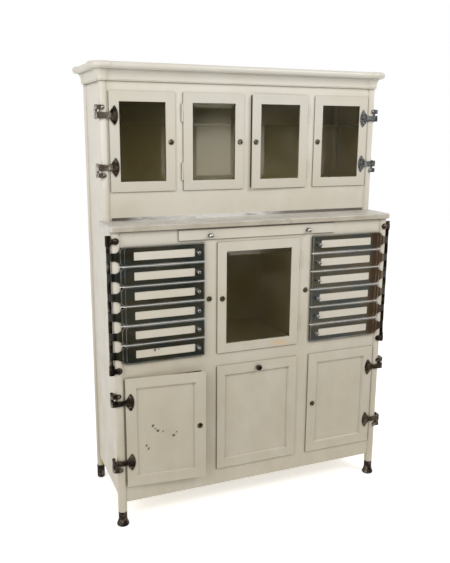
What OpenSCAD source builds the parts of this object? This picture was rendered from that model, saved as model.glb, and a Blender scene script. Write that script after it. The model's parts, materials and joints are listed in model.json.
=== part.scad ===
// Dental cabinet in enamelled steel with a marble worktop.
// X runs to the right, Y to the back and Z up, in millimetres.
// The lower front post axes are taken as Y = 0, and every piece is then moved so that the
// origin lies under the middle of the whole cabinet.

/* [Body] */
// Height to the top of the cornice
total_h = 1600; // [1520:5:1680]
// Distance between the post axes from left to right
post_span = 1036; // [985:1:1085]
// Distance between the lower front and the rear post axes
body_depth = 371; // [353:1:389]
// How far the upper front posts stand behind the lower ones
setback = 121; // [115:1:127]
// Diameter of the lower front posts
low_post_d = 31.8; // [30:0.1:33.5]
// Diameter of the rear and the upper front posts
post_d = 27.2; // [26:0.1:28.4]
// Wall of the corner posts
tube_wall = 2; // [1.5:0.1:3]
// How far the panels stand out from the post axes
skin = 6; // [5:0.1:7]
// Thickness of the sheet steel panels
sheet_t = 2; // [1.5:0.1:2.5]
// Height of the lower edge of the body above the floor
leg_h = 90; // [80:1:100]
// How much higher the side panels end than the front frame
side_step = 10; // [5:1:15]

/* [Feet] */
// Height of the ferrules
foot_h = 54.5; // [49:0.5:59]
// Thickness of the ferrule under the post
foot_sole = 8; // [6:0.5:10]
// Radius of the flared front foot at the floor
foot_flare_r = 22; // [20:0.1:23]
// Wall of the ferrules around the post
foot_wall = 1.4; // [1:0.1:2]

/* [Worktop] */
// Height of the top of the marble
worktop_top = 1080; // [1050:1:1110]
// Thickness of the marble
slab_t = 18; // [16:0.5:20]
// Overhang of the marble beyond the panels at the sides
slab_side = 16; // [14:0.5:17]
// Overhang of the marble beyond the lower front frame
slab_front = 18; // [16:0.5:20]
// Radius of the front corners of the marble
slab_r = 14; // [10:0.5:16]
// Rounding of the upper edge of the marble
slab_top_round = 4; // [2:0.5:5]
// Rounding of the lower edge of the marble
slab_bottom_round = 2; // [1:0.5:3]
// Height of the nickel trim strip
trim_h = 10; // [8:0.5:12]
// Thickness of the nickel trim strip
trim_t = 2; // [1:0.1:3]
// Number of screws in the trim strip
trim_screws = 9; // [5:2:11]
// Spacing of the trim screws
trim_pitch = 100; // [90:1:105]

/* [Cornice] */
// Height of the whole cornice
cornice_h = 59; // [56:0.5:62]
// Height of the bullnose
bull_h = 23; // [21:0.5:25]
// How far the bullnose stands out from the posts
bull_out = 36; // [34:0.5:38]
// How far the cove stands out from the posts at its top
cove_top_out = 13; // [11:0.5:15]
// How far the cove stands out from the posts at its foot
cove_foot_out = 6; // [5:0.5:7]
// Height of the small step at the foot of the cove
cove_step = 4; // [3:0.5:5]
// Hollow of the cove
cove_sag = 2.5; // [1.5:0.1:3]
// Thickness of the top panel
cap_t = 3; // [2:0.1:4]

/* [Doors] */
// How far the doors stand out from the frames
door_proud = 4.5; // [4:0.1:5]
// Clearance between a closed door and its frame
door_gap = 0.3; // [0.3:0.05:0.5]
// Overall thickness of a door
door_t = 18; // [16:0.5:20]
// How far a door overlaps its opening
lap = 8; // [6:0.5:9]
// Clearance between the inner box of a door and its opening
box_gap = 3; // [2.5:0.1:3.5]
// Thickness of the sheet steel of the doors
door_wall = 2; // [1.5:0.1:2.2]
// Distance from the lower post axis to the edge of an outer lower door
edge_low = 18.6; // [18:0.1:19.5]
// Distance from the upper post axis to the edge of an outer upper door
edge_up = 18; // [17:0.1:19]
// Width of the centre door and of the bin front
mid_w = 323; // [310:1:336]
// Width of the stiles beside the centre door
stile_w = 51.5; // [49:0.5:54]
// Height of the sill under the lower doors
sill_h = 61; // [58:0.5:64]
// Height of the rail between the lower doors and the trays
rail_h = 52; // [49:0.5:55]
// Width of the stile between the two middle upper doors
up_mid_stile = 28; // [26:0.5:30]
// Width of the stiles between the outer and the middle upper doors
up_stile = 29; // [27:0.5:31]
// Height from the worktop to the upper doors
up_sill = 98; // [93:0.5:103]
// Height of the plain band between the upper doors and the cornice
up_head = 31; // [29:0.5:33]
// Width of the border round the panel of a lower door
panel_border = 41.5; // [40:0.5:43]
// Depth of the panels in the lower doors
panel_depth = 6; // [5:0.1:7]
// Width of the sloped edge of the panels
panel_slope = 5; // [4:0.1:6]
// Width of the border round the glass of a door
glass_border = 34; // [32:0.5:36]
// Depth of the glass behind the face of a door
glass_depth = 5; // [4:0.1:6]
// Thickness of the door glass
glass_t = 5; // [4:0.1:6]
// Width of the bevel on the door glass
bevel_w = 16; // [14:0.5:18]
// How far the glass reaches under its border
glass_bite = 6; // [5:0.1:7]
// Angle at which the lower left door stands ajar
ajar_low = 5.5; // [3:0.5:8]
// Angle at which the right middle upper door stands ajar
ajar_up = 2.5; // [1:0.5:4]

/* [Hinges] */
// Distance from the post axes out to the axes of the lower hinges
hinge_out = 26; // [25:0.1:27]
// Distance from the post axes out to the axes of the upper hinges
up_hinge_out = 23; // [22.5:0.1:25]
// Distance from the post axes out to the tray rods
rod_out = 24.5; // [24:0.1:26]
// How far the hinge axes stand behind the post axes
hinge_back = 7; // [6:0.1:8]
// Radius of the offset hinge barrels
barrel_r = 6; // [5.5:0.1:6.5]
// Height of each half of an offset hinge barrel
barrel_h = 22; // [20:0.5:24]
// Radius of the offset hinge pins
pin_r = 3; // [2.5:0.1:3.4]
// Running clearance of pins and rods in their bores
pin_gap = 0.08; // [0.05:0.01:0.1]
// Thickness of hinge arms and fixed leaves
arm_t = 3.6; // [3:0.1:4]
// Height of the fixed leaves
leaf_h = 15; // [13:0.5:16]
// Height of the hinge arms where they meet their plates
arm_tip_h = 16; // [14:0.5:18]
// Clearance between moving straps and the posts
post_gap = 0.6; // [0.4:0.1:0.8]
// Height of the rounded hinge plates
hinge_plate_h = 64; // [60:0.5:66]
// Width of the rounded hinge plates
hinge_plate_w = 30; // [28:0.5:32]
// Distance from the edge of a door to the points of its hinge plates
hinge_plate_tip = 18; // [16:0.5:20]
// Thickness of the rounded hinge plates
hinge_plate_t = 2.5; // [2:0.1:3]
// Distance from the top of an upper door to its upper hinge
up_hinge_top = 68; // [65:1:72]
// Distance from the bottom of an upper door to its lower hinge
up_hinge_bottom = 72; // [68:1:76]
// Distance from the top of a lower door to its upper hinge
low_hinge_top = 75; // [71:1:79]
// Distance from the bottom of a lower door to its lower hinge
low_hinge_bottom = 84; // [80:1:88]
// Radius of the small butt hinge knuckles
butt_r = 3; // [2.8:0.1:3.1]
// Radius of the small butt hinge pins
butt_pin_r = 1.5; // [1.2:0.1:1.7]
// Radius of the pins in the lower edge of the bin
bin_pin_r = 1.1; // [1:0.05:1.2]
// Length of each half of a butt hinge
butt_h = 30; // [27:0.5:33]
// Distance from the end of a door to a butt hinge, as a share of its height
butt_share = 0.2; // [0.18:0.01:0.22]

/* [Locks and knobs] */
// Radius of the lock rosettes
lock_r = 9.2; // [8.5:0.1:9.8]
// Thickness of the lock rosettes
lock_t = 2; // [1.5:0.1:2.5]
// Radius of the lock plugs
plug_r = 6; // [5:0.1:6.5]
// How far the lock plugs stand out from the rosettes
plug_t = 1.5; // [1:0.1:2]
// Width of the keyholes
key_w = 1.4; // [1:0.1:2]
// Distance from the free edge of an upper door to its lock
lock_up = 15; // [13:0.5:17]
// Distance from the free edge of a centre or lower door to its lock
lock_low = 22; // [18:0.5:26]
// Radius of the ball knobs on the writing shelf
shelf_knob_r = 9; // [8:0.1:10]
// Radius of the ball knobs on the trays
tray_knob_r = 7; // [6:0.1:8]
// Radius of the bin knob
bin_knob_r = 11.2; // [10:0.1:12]

/* [Trays] */
// Number of trays on each side
tray_count = 6; // [4:1:6]
// Height of a tray front
plate_h = 63.4; // [61:0.1:64]
// Spacing of the trays
tray_pitch = 67.8; // [66.5:0.1:70]
// Thickness of the nickel tray fronts
front_t = 2; // [1.5:0.1:2.5]
// Height of the raised rim on the tray fronts
rim_t = 0.8; // [0.5:0.1:1.2]
// Width of the raised rim on the tray fronts
rim_w = 3; // [2:0.1:4]
// Distance from the hinge end of a tray front to its curved bead
bead_back = 14; // [13:0.5:16]
// Width of the curved bead
bead_w = 1.6; // [1.2:0.1:2]
// Depth of the folded edges of the tray fronts
fold_d = 6; // [5:0.1:6.4]
// Height of the hinge strap of a tray
strap_h = 27; // [25:0.5:29]
// Height of the enamelled band in a tray front
window_h = 28; // [26:0.5:30]
// Distance from the free end of a tray front to its enamelled band
window_free = 35; // [33:0.5:37]
// Distance from the post axis to the enamelled band
window_post = 57.5; // [55:0.5:60]
// Corner radius of the enamelled band
window_r = 3; // [2:0.1:5]
// Distance from the free end of a tray front to its knob
tray_knob_in = 24; // [20:0.5:26]
// Wall of the tray pans
pan_wall = 1.5; // [1.2:0.1:2]
// Clearance above and below a pan inside its front
pan_gap = 3; // [2.6:0.1:3.5]
// Clearance between a pan and the side of its opening
pan_free = 3; // [2:0.1:4]
// Clearance between a pan and its corner post
pan_post_gap = 12.4; // [11:0.1:14]
// Clearance between the trays and the bars between them
bar_gap = 0.6; // [0.4:0.1:0.8]
// Radius of the rod journals that the trays turn on
rod_r = 4.5; // [4:0.1:5]
// Radius of the spacers on the rods
spacer_r = 7; // [6.5:0.1:7.5]
// Radius of the tray knuckles
knuckle_r = 6.6; // [6.3:0.1:7]
// Clearance between the ends of knuckles and spacers
end_gap = 0.3; // [0.2:0.05:0.4]
// How far the rods reach beyond the trays
rod_over = 38; // [36:0.5:40]
// Height of the rod end brackets
bracket_h = 34; // [32:0.5:36]
// Radius of the rounded ends of the rod brackets
bracket_r = 11; // [10:0.5:12]

/* [Writing shelf] */
// Width of the front of the pull-out shelf
shelf_w = 606; // [580:1:630]
// Height of the front of the pull-out shelf
shelf_h = 36; // [34:0.5:38]
// Distance from the marble down to the shelf front
shelf_drop = 6; // [5:0.1:7]
// Rail between the pull-out shelf and the top trays
shelf_rail = 9.6; // [8:0.1:11]
// Rail between the pull-out shelf and the centre door
mid_rail = 12.7; // [11:0.1:15]
// Thickness of the shelf board
board_t = 18; // [16:0.5:20]
// Length of the shelf board behind its front
board_len = 310; // [290:1:330]
// Distance between the two shelf knobs
shelf_knob_span = 380; // [360:1:400]

/* [Bin] */
// Depth of the bin behind its front
bin_depth = 235; // [220:1:250]
// Wall of the bin
bin_wall = 1.6; // [1.2:0.1:2]
// Clearance between the bin and its opening
bin_gap = 3.5; // [3:0.1:4]
// Distance from the top of the bin front to its knob
bin_knob_drop = 22; // [20:0.5:24]

/* [Upper shelf] */
// Height of the glass shelf as a share of the height of the upper doors
glass_shelf_share = 0.67; // [0.6:0.01:0.72]
// Thickness of the glass shelf
glass_shelf_t = 6; // [5:0.1:8]
// Clearance between the glass shelf and the side panels
glass_shelf_gap = 2; // [1:0.1:3]
// Width of the ledges under the glass shelf
ledge_w = 14; // [12:0.5:16]

/* [Hidden] */

$fn = 48;
over = 1;
enamel = "#d9d3c4";
nickel = "#8f8b86";
dark_metal = "#3a322c";
chrome = "#c9c9c9";
clear_glass = [0.75, 0.85, 0.8, 0.35];

post_r = post_d / 2;
low_r = low_post_d / 2;
// The fronts of all the front posts line up, so the wider ones have their centres further back
low_y = low_r - post_r;
post_x = post_span / 2;
hinge_x = post_x + hinge_out;
rod_x = post_x + rod_out;
up_hinge_x = post_x + up_hinge_out;
panel_x = post_x + skin;
inner_x = panel_x - sheet_t;
rear_in = body_depth + skin - sheet_t;
rear_y = body_depth + post_r;
rearmost = rear_y + foot_wall;
front_out = -skin;
front_in = front_out + sheet_t;
up_out = setback - skin;
up_in = up_out + sheet_t;
roof_z = total_h - cap_t;
slab_z = worktop_top - slab_t;
slab_rear = setback + post_r;

shelf_z = slab_z - shelf_drop - shelf_h;
tray_top = shelf_z - shelf_rail;
tray_z = tray_top - (tray_count - 1) * tray_pitch - plate_h;
low_z = leg_h + sill_h;
low_h = tray_z - rail_h - low_z;
door_x = mid_w / 2 + stile_w;
jamb_x = door_x + 2;
low_edge_x = post_x - edge_low;
mid_x = mid_w / 2;
mid_z = tray_z - 4;
mid_h = shelf_z - mid_rail - mid_z;
deck_t = 2;
case_seam = 0.2;
partition_x = mid_x + stile_w / 2;
top_deck_z = shelf_z - 9;
side_deck_z = tray_z - rail_h / 2;
mid_deck_z = mid_z - 4;

up_z = worktop_top + up_sill;
up_top = total_h - cornice_h - up_head;
up_h = up_top - up_z;
up_edge_x = post_x - edge_up;
up_door_w = (up_edge_x - up_mid_stile / 2 - up_stile) / 2;
up_inner_x0 = up_mid_stile / 2;
up_inner_x1 = up_inner_x0 + up_door_w;
up_outer_x0 = up_inner_x1 + up_stile;
up_floor_z = up_z - 8;
glass_shelf_z = up_z + up_h * glass_shelf_share;
shelf_front = slab_rear + 2 * glass_shelf_gap;
shelf_rear = body_depth - post_r - 2 * glass_shelf_gap;

lip_t = door_proud - door_gap;
low_face = front_out - door_proud;
up_face = up_out - door_proud;
box_in = lap + box_gap;
strap_y = -(post_r + post_gap);
front_y = strap_y - front_t;
low_hinges = [low_z + low_hinge_bottom, low_z + low_h - low_hinge_top];
up_hinges = [up_z + up_hinge_bottom, up_top - up_hinge_top];

tray_free_x = jamb_x - 3;
tray_end_x = post_x - 11;
pan_r = rod_x - jamb_x - pan_free;
pan_side_x = post_x - post_r - pan_post_gap;
pan_rear = body_depth - 3 * post_r;
window_x0 = tray_free_x + window_free;
window_x1 = post_x - window_post;
bar_h = tray_pitch - plate_h - 2 * bar_gap;
bar_end_x = tray_end_x - 9;
rod_z0 = tray_z - rod_over;
rod_z1 = tray_top + rod_over;

butt_off = butt_r + 2 * door_gap;
bin_edge_r = lip_t / 2;
bin_axis_y = low_face + bin_edge_r;
bin_axis_z = low_z + bin_edge_r;
bin_r = low_h + low_z - lap - bin_axis_z - 2;
bin_hinge_x = [-mid_x / 1.6, mid_x / 1.6];

board_z = shelf_z + (shelf_h - board_t) / 2;
board_x = shelf_w / 2 - lap - box_gap;
runner_w = 25;
runner_in = 15;
guide_w = 8;
runner_rear = rear_in - 20;
screw_slot = 0.6;
cap_h = 1.5;

// The front edge of the lock on the door that stands ajar is the foremost point.
ajar_reach = (hinge_x - door_x - lock_low + plug_r) * sin(ajar_low)
    + (hinge_back - low_face + lock_t + plug_t) * cos(ajar_low) - hinge_back;
shift_y = (ajar_reach - rearmost) / 2;

function tray_base(n) = tray_top - plate_h - (n - 1) * tray_pitch;

module centred() {
    translate([0, shift_y, 0]) children();
}

module both_sides() {
    children();
    mirror([1, 0, 0]) children();
}

// A box between two corners
module block(low, high) {
    translate(low) cube(high - low);
}

module post_space() {
    both_sides() {
        translate([post_x, low_y, 0]) cylinder(r = low_r, h = slab_z);
        translate([post_x, body_depth, 0]) cylinder(r = post_r, h = roof_z);
        translate([post_x, setback, worktop_top]) cylinder(r = post_r, h = roof_z - worktop_top);
    }
}

module tube(r, y, z0, z1) {
    translate([post_x, y, z0]) difference() {
        cylinder(r = r, h = z1 - z0);
        translate([0, 0, -over]) cylinder(r = r - tube_wall, h = z1 - z0 + 2 * over);
    }
}

module corner_posts() {
    color(enamel) centred() both_sides() {
        tube(low_r, low_y, foot_h, slab_z);
        tube(post_r, body_depth, foot_sole, roof_z);
        tube(post_r, setback, worktop_top, roof_z);
    }
}

// A front ferrule flares at the floor and has a stub inside its post
module front_foot() {
    neck = low_r - 0.3;
    stub = low_r - tube_wall;
    rotate_extrude() polygon([
        [0, 0], [foot_flare_r - 3, 0], [foot_flare_r - 1, 1.5], [foot_flare_r, 5],
        [foot_flare_r - 1, 9], [neck + 3, 15], [neck + 0.8, 21], [neck, 28], [neck, foot_h],
        [stub, foot_h], [stub, foot_h + low_post_d], [0, foot_h + low_post_d]]);
}

module rear_foot() {
    rim = post_r + foot_wall;
    round_r = 6;
    rotate_extrude() polygon(concat(
        [[0, 0]],
        [for (a = [0:15:90]) [rim - round_r + round_r * sin(a), round_r - round_r * cos(a)]],
        [[rim, foot_h], [post_r, foot_h], [post_r, foot_sole], [0, foot_sole]]));
}

module feet() {
    color(dark_metal) centred() both_sides() {
        translate([post_x, low_y, 0]) front_foot();
        translate([post_x, body_depth, 0]) rear_foot();
    }
}

module side_panels() {
    color(enamel) centred() both_sides() {
        difference() {
            union() {
                block([inner_x, 0, leg_h + side_step], [panel_x, body_depth, slab_z]);
                block([inner_x, slab_rear, slab_z], [panel_x, body_depth, roof_z]);
                block([inner_x, setback, worktop_top], [panel_x, body_depth, roof_z]);
            }
            post_space();
        }
        block([inner_x - ledge_w, shelf_front, glass_shelf_z - sheet_t],
              [inner_x, shelf_rear, glass_shelf_z]);
        block([inner_x - sheet_t, shelf_front, glass_shelf_z - ledge_w],
              [inner_x, shelf_rear, glass_shelf_z - sheet_t]);
    }
}

module back_panel() {
    color(enamel) centred() difference() {
        block([-post_x, rear_in, leg_h], [post_x, rear_in + sheet_t, roof_z]);
        post_space();
    }
}

// An opening through a front sheet, smaller than its door by the overlap
module door_opening(x0, x1, z0, z1, y) {
    block([x0 + lap, y - over, z0 + lap], [x1 - lap, y + sheet_t + over, z1 - lap]);
}

// Fixed half of a painted butt hinge, with its pin up through the other half
module butt_leaf(x, y, z) {
    translate([x, y, z]) {
        translate([0, 0, -butt_h]) cylinder(r = butt_r, h = butt_h - end_gap);
        translate([0, 0, -over - end_gap]) cylinder(r = butt_pin_r, h = butt_h + over + end_gap);
        block([-1, 0, -butt_h], [1, door_proud - 1, -end_gap]);
    }
}

// Moving half of a painted butt hinge, joined to the edge of its door
module butt_knuckle(x, y, z) {
    translate([x, y, z]) difference() {
        union() {
            cylinder(r = butt_r, h = butt_h);
            block([-butt_off, -1, 0], [0, 1.4, butt_h]);
        }
        translate([0, 0, -over]) cylinder(r = butt_pin_r + pin_gap, h = butt_h + 2 * over);
    }
}

function butt_heights(z0, z1) = [z0 + (z1 - z0) * butt_share, z1 - (z1 - z0) * butt_share];

// Fixed and moving halves of the bin hinges, along X at the bottom edge of the bin front
module bin_leaf() {
    translate([0, bin_axis_y, bin_axis_z]) {
        translate([-butt_h, 0, 0]) rotate([0, 90, 0]) cylinder(r = bin_edge_r, h = butt_h - end_gap);
        translate([-over - end_gap, 0, 0]) rotate([0, 90, 0])
            cylinder(r = bin_pin_r, h = butt_h + over + end_gap);
        block([-butt_h, 0, -bin_edge_r], [-end_gap, front_in - bin_axis_y, 0]);
    }
}

// Space in the lower edge of the bin for the knuckle and the pin of one hinge
module bin_knuckle() {
    translate([0, bin_axis_y, bin_axis_z]) {
        block([-butt_h - end_gap, -bin_edge_r - over, -bin_edge_r - over],
              [0, bin_edge_r + over, bin_edge_r + door_gap]);
        translate([-over, 0, 0]) rotate([0, 90, 0])
            cylinder(r = bin_pin_r + pin_gap, h = butt_h + end_gap + over);
    }
}

module lower_front_frame() {
    slot_w = shelf_w / 2 - lap;
    color(enamel) centred() {
        difference() {
            block([-post_x, front_out, leg_h], [post_x, front_in, slab_z]);
            post_space();
            door_opening(-mid_x, mid_x, low_z, low_z + low_h, front_out);
            door_opening(-mid_x, mid_x, mid_z, mid_z + mid_h, front_out);
            both_sides() {
                door_opening(door_x, low_edge_x, low_z, low_z + low_h, front_out);
                block([jamb_x, front_out - over, tray_z + 2], [post_x, front_in + over, tray_top - 2]);
            }
            block([-slot_w, front_out - over, shelf_z + 5],
                  [slot_w, front_in + over, shelf_z + shelf_h - 5]);
        }
        both_sides() difference() {
            for (n = [1:tray_count - 1]) {
                bar_z = tray_base(n) - bar_gap - bar_h;
                block([jamb_x, low_face, bar_z], [post_x, front_in, bar_z + bar_h]);
                block([tray_free_x - 1, strap_y, bar_z], [bar_end_x, front_out, bar_z + bar_h]);
            }
            post_space();
        }
        for (z = butt_heights(mid_z, mid_z + mid_h))
            butt_leaf(mid_x + butt_off, low_face + 1, z);
        for (x = bin_hinge_x) translate([x, 0, 0]) bin_leaf();
    }
}

// The sheets of the inner case butt with fine seams, and each front corner clears a post
module inner_case() {
    floor_z = leg_h + side_step;
    wall_in = partition_x - deck_t / 2 - case_seam;
    wall_out = partition_x + deck_t / 2 + case_seam;
    color(enamel) centred() {
        difference() {
            union() {
                block([-inner_x, front_in, floor_z], [inner_x, rear_in, floor_z + deck_t]);
                block([-inner_x, front_in, top_deck_z], [inner_x, rear_in, top_deck_z + deck_t]);
                block([-wall_in, front_in, mid_deck_z], [wall_in, rear_in, mid_deck_z + deck_t]);
                block([-inner_x, up_in, up_floor_z - deck_t], [inner_x, rear_in, up_floor_z]);
                both_sides() {
                    block([partition_x - deck_t / 2, front_in, floor_z + deck_t + case_seam],
                          [partition_x + deck_t / 2, rear_in, top_deck_z - case_seam]);
                    block([wall_out, front_in, side_deck_z], [inner_x, rear_in, side_deck_z + deck_t]);
                }
            }
            post_space();
        }
        both_sides() {
            block([board_x - runner_in - runner_w, front_in, top_deck_z + deck_t],
                  [board_x - runner_in, runner_rear, board_z - door_gap]);
            block([board_x + door_gap, front_in, top_deck_z + deck_t],
                  [board_x + door_gap + guide_w, runner_rear, board_z + board_t]);
        }
    }
}

// Edge of the marble: outwards along X, upwards along Y
module slab_edge() {
    square([slab_r - slab_top_round, slab_t]);
    square([slab_r - slab_bottom_round, slab_t / 2]);
    translate([0, slab_bottom_round]) square([slab_r, slab_t - slab_top_round - slab_bottom_round]);
    translate([slab_r - slab_top_round, slab_t - slab_top_round]) circle(r = slab_top_round);
    translate([slab_r - slab_bottom_round, slab_bottom_round]) circle(r = slab_bottom_round);
}

module marble_worktop() {
    half = panel_x + slab_side - slab_r;
    front = front_out - slab_front + slab_r;
    color("#d6d2ca") centred() translate([0, 0, slab_z]) {
        block([-half, front, 0], [half, slab_rear, slab_t]);
        translate([-half, front, 0]) rotate([90, 0, 90]) mirror([1, 0, 0])
            linear_extrude(2 * half) slab_edge();
        both_sides() {
            translate([half, slab_rear, 0]) rotate([90, 0, 0])
                linear_extrude(slab_rear - front) slab_edge();
            translate([half, front, 0]) rotate([0, 0, -90])
                rotate_extrude(angle = 90) slab_edge();
        }
    }
}

module trim_strip() {
    half = post_x - edge_up;
    color(chrome) centred() {
        block([-half, up_out - trim_t, worktop_top], [half, up_out, worktop_top + trim_h]);
        for (n = [0:trim_screws - 1])
            translate([(n - (trim_screws - 1) / 2) * trim_pitch, up_out - trim_t,
                       worktop_top + trim_h / 2])
                screw_head(trim_h * 0.26);
    }
}

// A domed screw head that faces the front, with its slot
module screw_head(r) {
    h = r / 2;
    dome_r = (r * r + h * h) / (2 * h);
    difference() {
        intersection() {
            translate([0, dome_r - h, 0]) sphere(r = dome_r);
            rotate([90, 0, 0]) cylinder(r = r, h = h + over);
        }
        block([-r - over, -h - over, -screw_slot / 2], [r + over, -h / 2, screw_slot / 2]);
    }
}

module upper_front_frame() {
    color(enamel) centred() {
        difference() {
            block([-post_x, up_out, worktop_top], [post_x, up_in, roof_z]);
            post_space();
            both_sides() {
                door_opening(up_inner_x0, up_inner_x1, up_z, up_top, up_out);
                door_opening(up_outer_x0, up_edge_x, up_z, up_top, up_out);
            }
        }
        both_sides() for (z = butt_heights(up_z, up_top))
            butt_leaf(up_inner_x1 + butt_off, up_face + 1, z);
    }
}

// Section of the cornice: outwards from the post axes along X, upwards along Y
module cornice_section() {
    foot_z = total_h - cornice_h;
    bull_z = total_h - bull_h;
    foot = post_r + cove_foot_out;
    top = post_r + cove_top_out;
    tip = post_r + bull_out;
    steps = 8;
    polygon(concat(
        [[skin, foot_z], [foot - 1, foot_z], [foot, foot_z + 1], [foot, foot_z + cove_step]],
        [for (n = [0:steps])
            [foot + 1.5 + (top - foot - 1.5) * n / steps - cove_sag * sin(180 * n / steps),
             foot_z + cove_step + (bull_z - 4 - foot_z - cove_step) * n / steps]],
        [[top + 3, bull_z - 3], [top + 3, bull_z], [tip - bull_h / 2, bull_z],
         [tip - bull_h / 2, total_h], [skin, total_h]]));
    translate([tip - bull_h / 2, bull_z + bull_h / 2]) circle(r = bull_h / 2);
}

// The cornice bulges out round the posts, and its straight runs stand back with the panels
module cornice() {
    run_back = post_r - skin;
    foot_z = total_h - cornice_h;
    tip = post_r + bull_out + over;
    color(enamel) centred() difference() {
        union() {
            difference() {
                union() {
                    translate([-post_x, setback + run_back, 0]) rotate([90, 0, 90]) mirror([1, 0, 0])
                        linear_extrude(post_span) cornice_section();
                    both_sides() {
                        translate([post_x - run_back, rear_y, 0]) rotate([90, 0, 0])
                            linear_extrude(rear_y - setback) cornice_section();
                        for (y = [setback, body_depth]) translate([post_x, y, 0])
                            rotate_extrude() cornice_section();
                    }
                }
                block([-panel_x, up_out, foot_z - over], [panel_x, rear_y, roof_z]);
                block([-post_x - tip, rear_y, foot_z - over], [post_x + tip, rear_y + tip, total_h + over]);
            }
            block([-panel_x - over, up_out - over, roof_z], [panel_x + over, rear_y, total_h]);
        }
        post_space();
    }
}

module glass_shelf() {
    half = inner_x - glass_shelf_gap;
    color(clear_glass) centred()
        block([-half, shelf_front, glass_shelf_z], [half, shelf_rear, glass_shelf_z + glass_shelf_t]);
}

// A bracket at the end of a rod: its collar and an arm across the front of the post
module rod_bracket(z0, arm_z) {
    strap_r = bracket_r * 0.75;
    difference() {
        union() {
            translate([rod_x, 0, z0]) cylinder(r = spacer_r + 2, h = bracket_h);
            block([post_x + 2, -post_r - arm_t, arm_z - strap_r], [rod_x, -post_r + 3, arm_z + strap_r]);
            translate([post_x + 2, -post_r + 3, arm_z]) rotate([90, 0, 0])
                cylinder(r = bracket_r, h = arm_t + 3);
        }
        post_space();
    }
    translate([post_x + 2, -post_r - arm_t, arm_z]) screw_head(bracket_r * 0.75);
}

module tray_rods() {
    color(dark_metal) centred() both_sides() {
        translate([rod_x, 0, rod_z0]) cylinder(r = rod_r, h = rod_z1 - rod_z0);
        for (n = [0:tray_count]) {
            upper = n == 0 ? rod_z1 : tray_base(n) + (plate_h - strap_h) / 2 - end_gap;
            lower = n == tray_count ? rod_z0 : tray_base(n + 1) + (plate_h + strap_h) / 2 + end_gap;
            translate([rod_x, 0, lower]) cylinder(r = spacer_r, h = upper - lower);
        }
        rod_bracket(rod_z1 - bracket_h, rod_z1 - bracket_h / 2);
        rod_bracket(rod_z0, rod_z0 + bracket_h / 2);
    }
}

// Fixed half of an offset hinge about its own axis, above the joint line of its barrel
module hinge_leaf(out, r) {
    front = -hinge_back - post_r - arm_t;
    back = front + arm_t + 4;
    end_x = -out + 5;
    translate([0, 0, end_gap]) cylinder(r = barrel_r, h = barrel_h - end_gap);
    translate([0, 0, -barrel_h - end_gap]) cylinder(r = pin_r, h = barrel_h + 2 * end_gap + over);
    translate([0, 0, -barrel_h - end_gap - cap_h]) cylinder(r = barrel_r - 1, h = cap_h);
    translate([0, 0, barrel_h]) cylinder(r = barrel_r - 1, h = cap_h);
    difference() {
        union() {
            translate([0, 0, barrel_h - leaf_h]) linear_extrude(leaf_h) polygon([
                [barrel_r, 0], [barrel_r, back], [1, front], [end_x, front], [end_x, back], [-barrel_r, 0]]);
            translate([end_x, back, barrel_h - leaf_h / 2]) rotate([90, 0, 0])
                cylinder(r = leaf_h / 2, h = arm_t + 4);
        }
        translate([-out, r - post_r - hinge_back, -over]) cylinder(r = r, h = barrel_h + 2 * over);
    }
    translate([end_x, front, barrel_h - leaf_h / 2]) screw_head(leaf_h * 0.3);
}

// Outline of a hinge plate in X and Z, from the edge of its door to its rounded end
module hinge_plate() {
    half = hinge_plate_h / 2;
    bow = hinge_plate_w - hinge_plate_tip;
    round_r = (half * half + bow * bow) / (2 * bow);
    intersection() {
        translate([round_r - hinge_plate_w, 0]) circle(r = round_r);
        polygon([[0, arm_tip_h / 2], [-hinge_plate_tip, half], [-hinge_plate_w, half],
                 [-hinge_plate_w, -half], [-hinge_plate_tip, -half], [0, -arm_tip_h / 2]]);
    }
}

// Moving half of an offset hinge about its own axis, below the joint line of its barrel
module hinge_arm(out, edge) {
    back = strap_y - hinge_back;
    front = back - arm_t;
    face = front_out - door_proud - hinge_back;
    near = out + edge;
    mid = -barrel_h / 2;
    difference() {
        union() {
            translate([0, 0, -barrel_h]) cylinder(r = barrel_r, h = barrel_h);
            intersection() {
                translate([0, 0, -barrel_h]) linear_extrude(barrel_h) polygon([
                    [barrel_r, 0], [barrel_r, back + 3], [barrel_r - 5, front], [-near + 6, front],
                    [-near - 6, face - hinge_plate_t - 1], [-near - 6, face], [-near - 1, face],
                    [-near + 5, back], [-barrel_r + 1, back], [-barrel_r, back + 4], [-barrel_r, 0]]);
                upright(front - over, over) polygon([
                    [barrel_r, -barrel_h], [barrel_r, 0], [-barrel_r, 0],
                    [-near, mid + arm_tip_h / 2], [-near - 6, mid + arm_tip_h / 2],
                    [-near - 6, mid - arm_tip_h / 2], [-near, mid - arm_tip_h / 2], [-barrel_r, -barrel_h]]);
            }
        }
        translate([0, 0, -barrel_h - over]) cylinder(r = pin_r + pin_gap, h = barrel_h + 2 * over);
    }
    translate([-near, 0, mid]) {
        upright(face - hinge_plate_t, face) hinge_plate();
        for (s = [-1, 1]) translate([-hinge_plate_tip * 0.9, face - hinge_plate_t, s * hinge_plate_h * 0.3])
            screw_head(hinge_plate_w * 0.12);
    }
}

// Places the upper hinge of a door as it is and the lower one upside down
module hinge_pair(x, y, heights) {
    translate([x, y, heights[1]]) children();
    translate([x, y, heights[0]]) mirror([0, 0, 1]) children();
}

// A cylinder lock that faces the front, with its keyhole
module lock(x, y, z) {
    translate([x, y, z]) difference() {
        union() {
            rotate([90, 0, 0]) cylinder(r = lock_r, h = lock_t);
            rotate([90, 0, 0]) cylinder(r = plug_r, h = lock_t + plug_t);
        }
        block([-key_w / 2, -lock_t - plug_t - over, -plug_r / 2], [key_w / 2, -lock_t, plug_r / 2]);
    }
}

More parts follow.
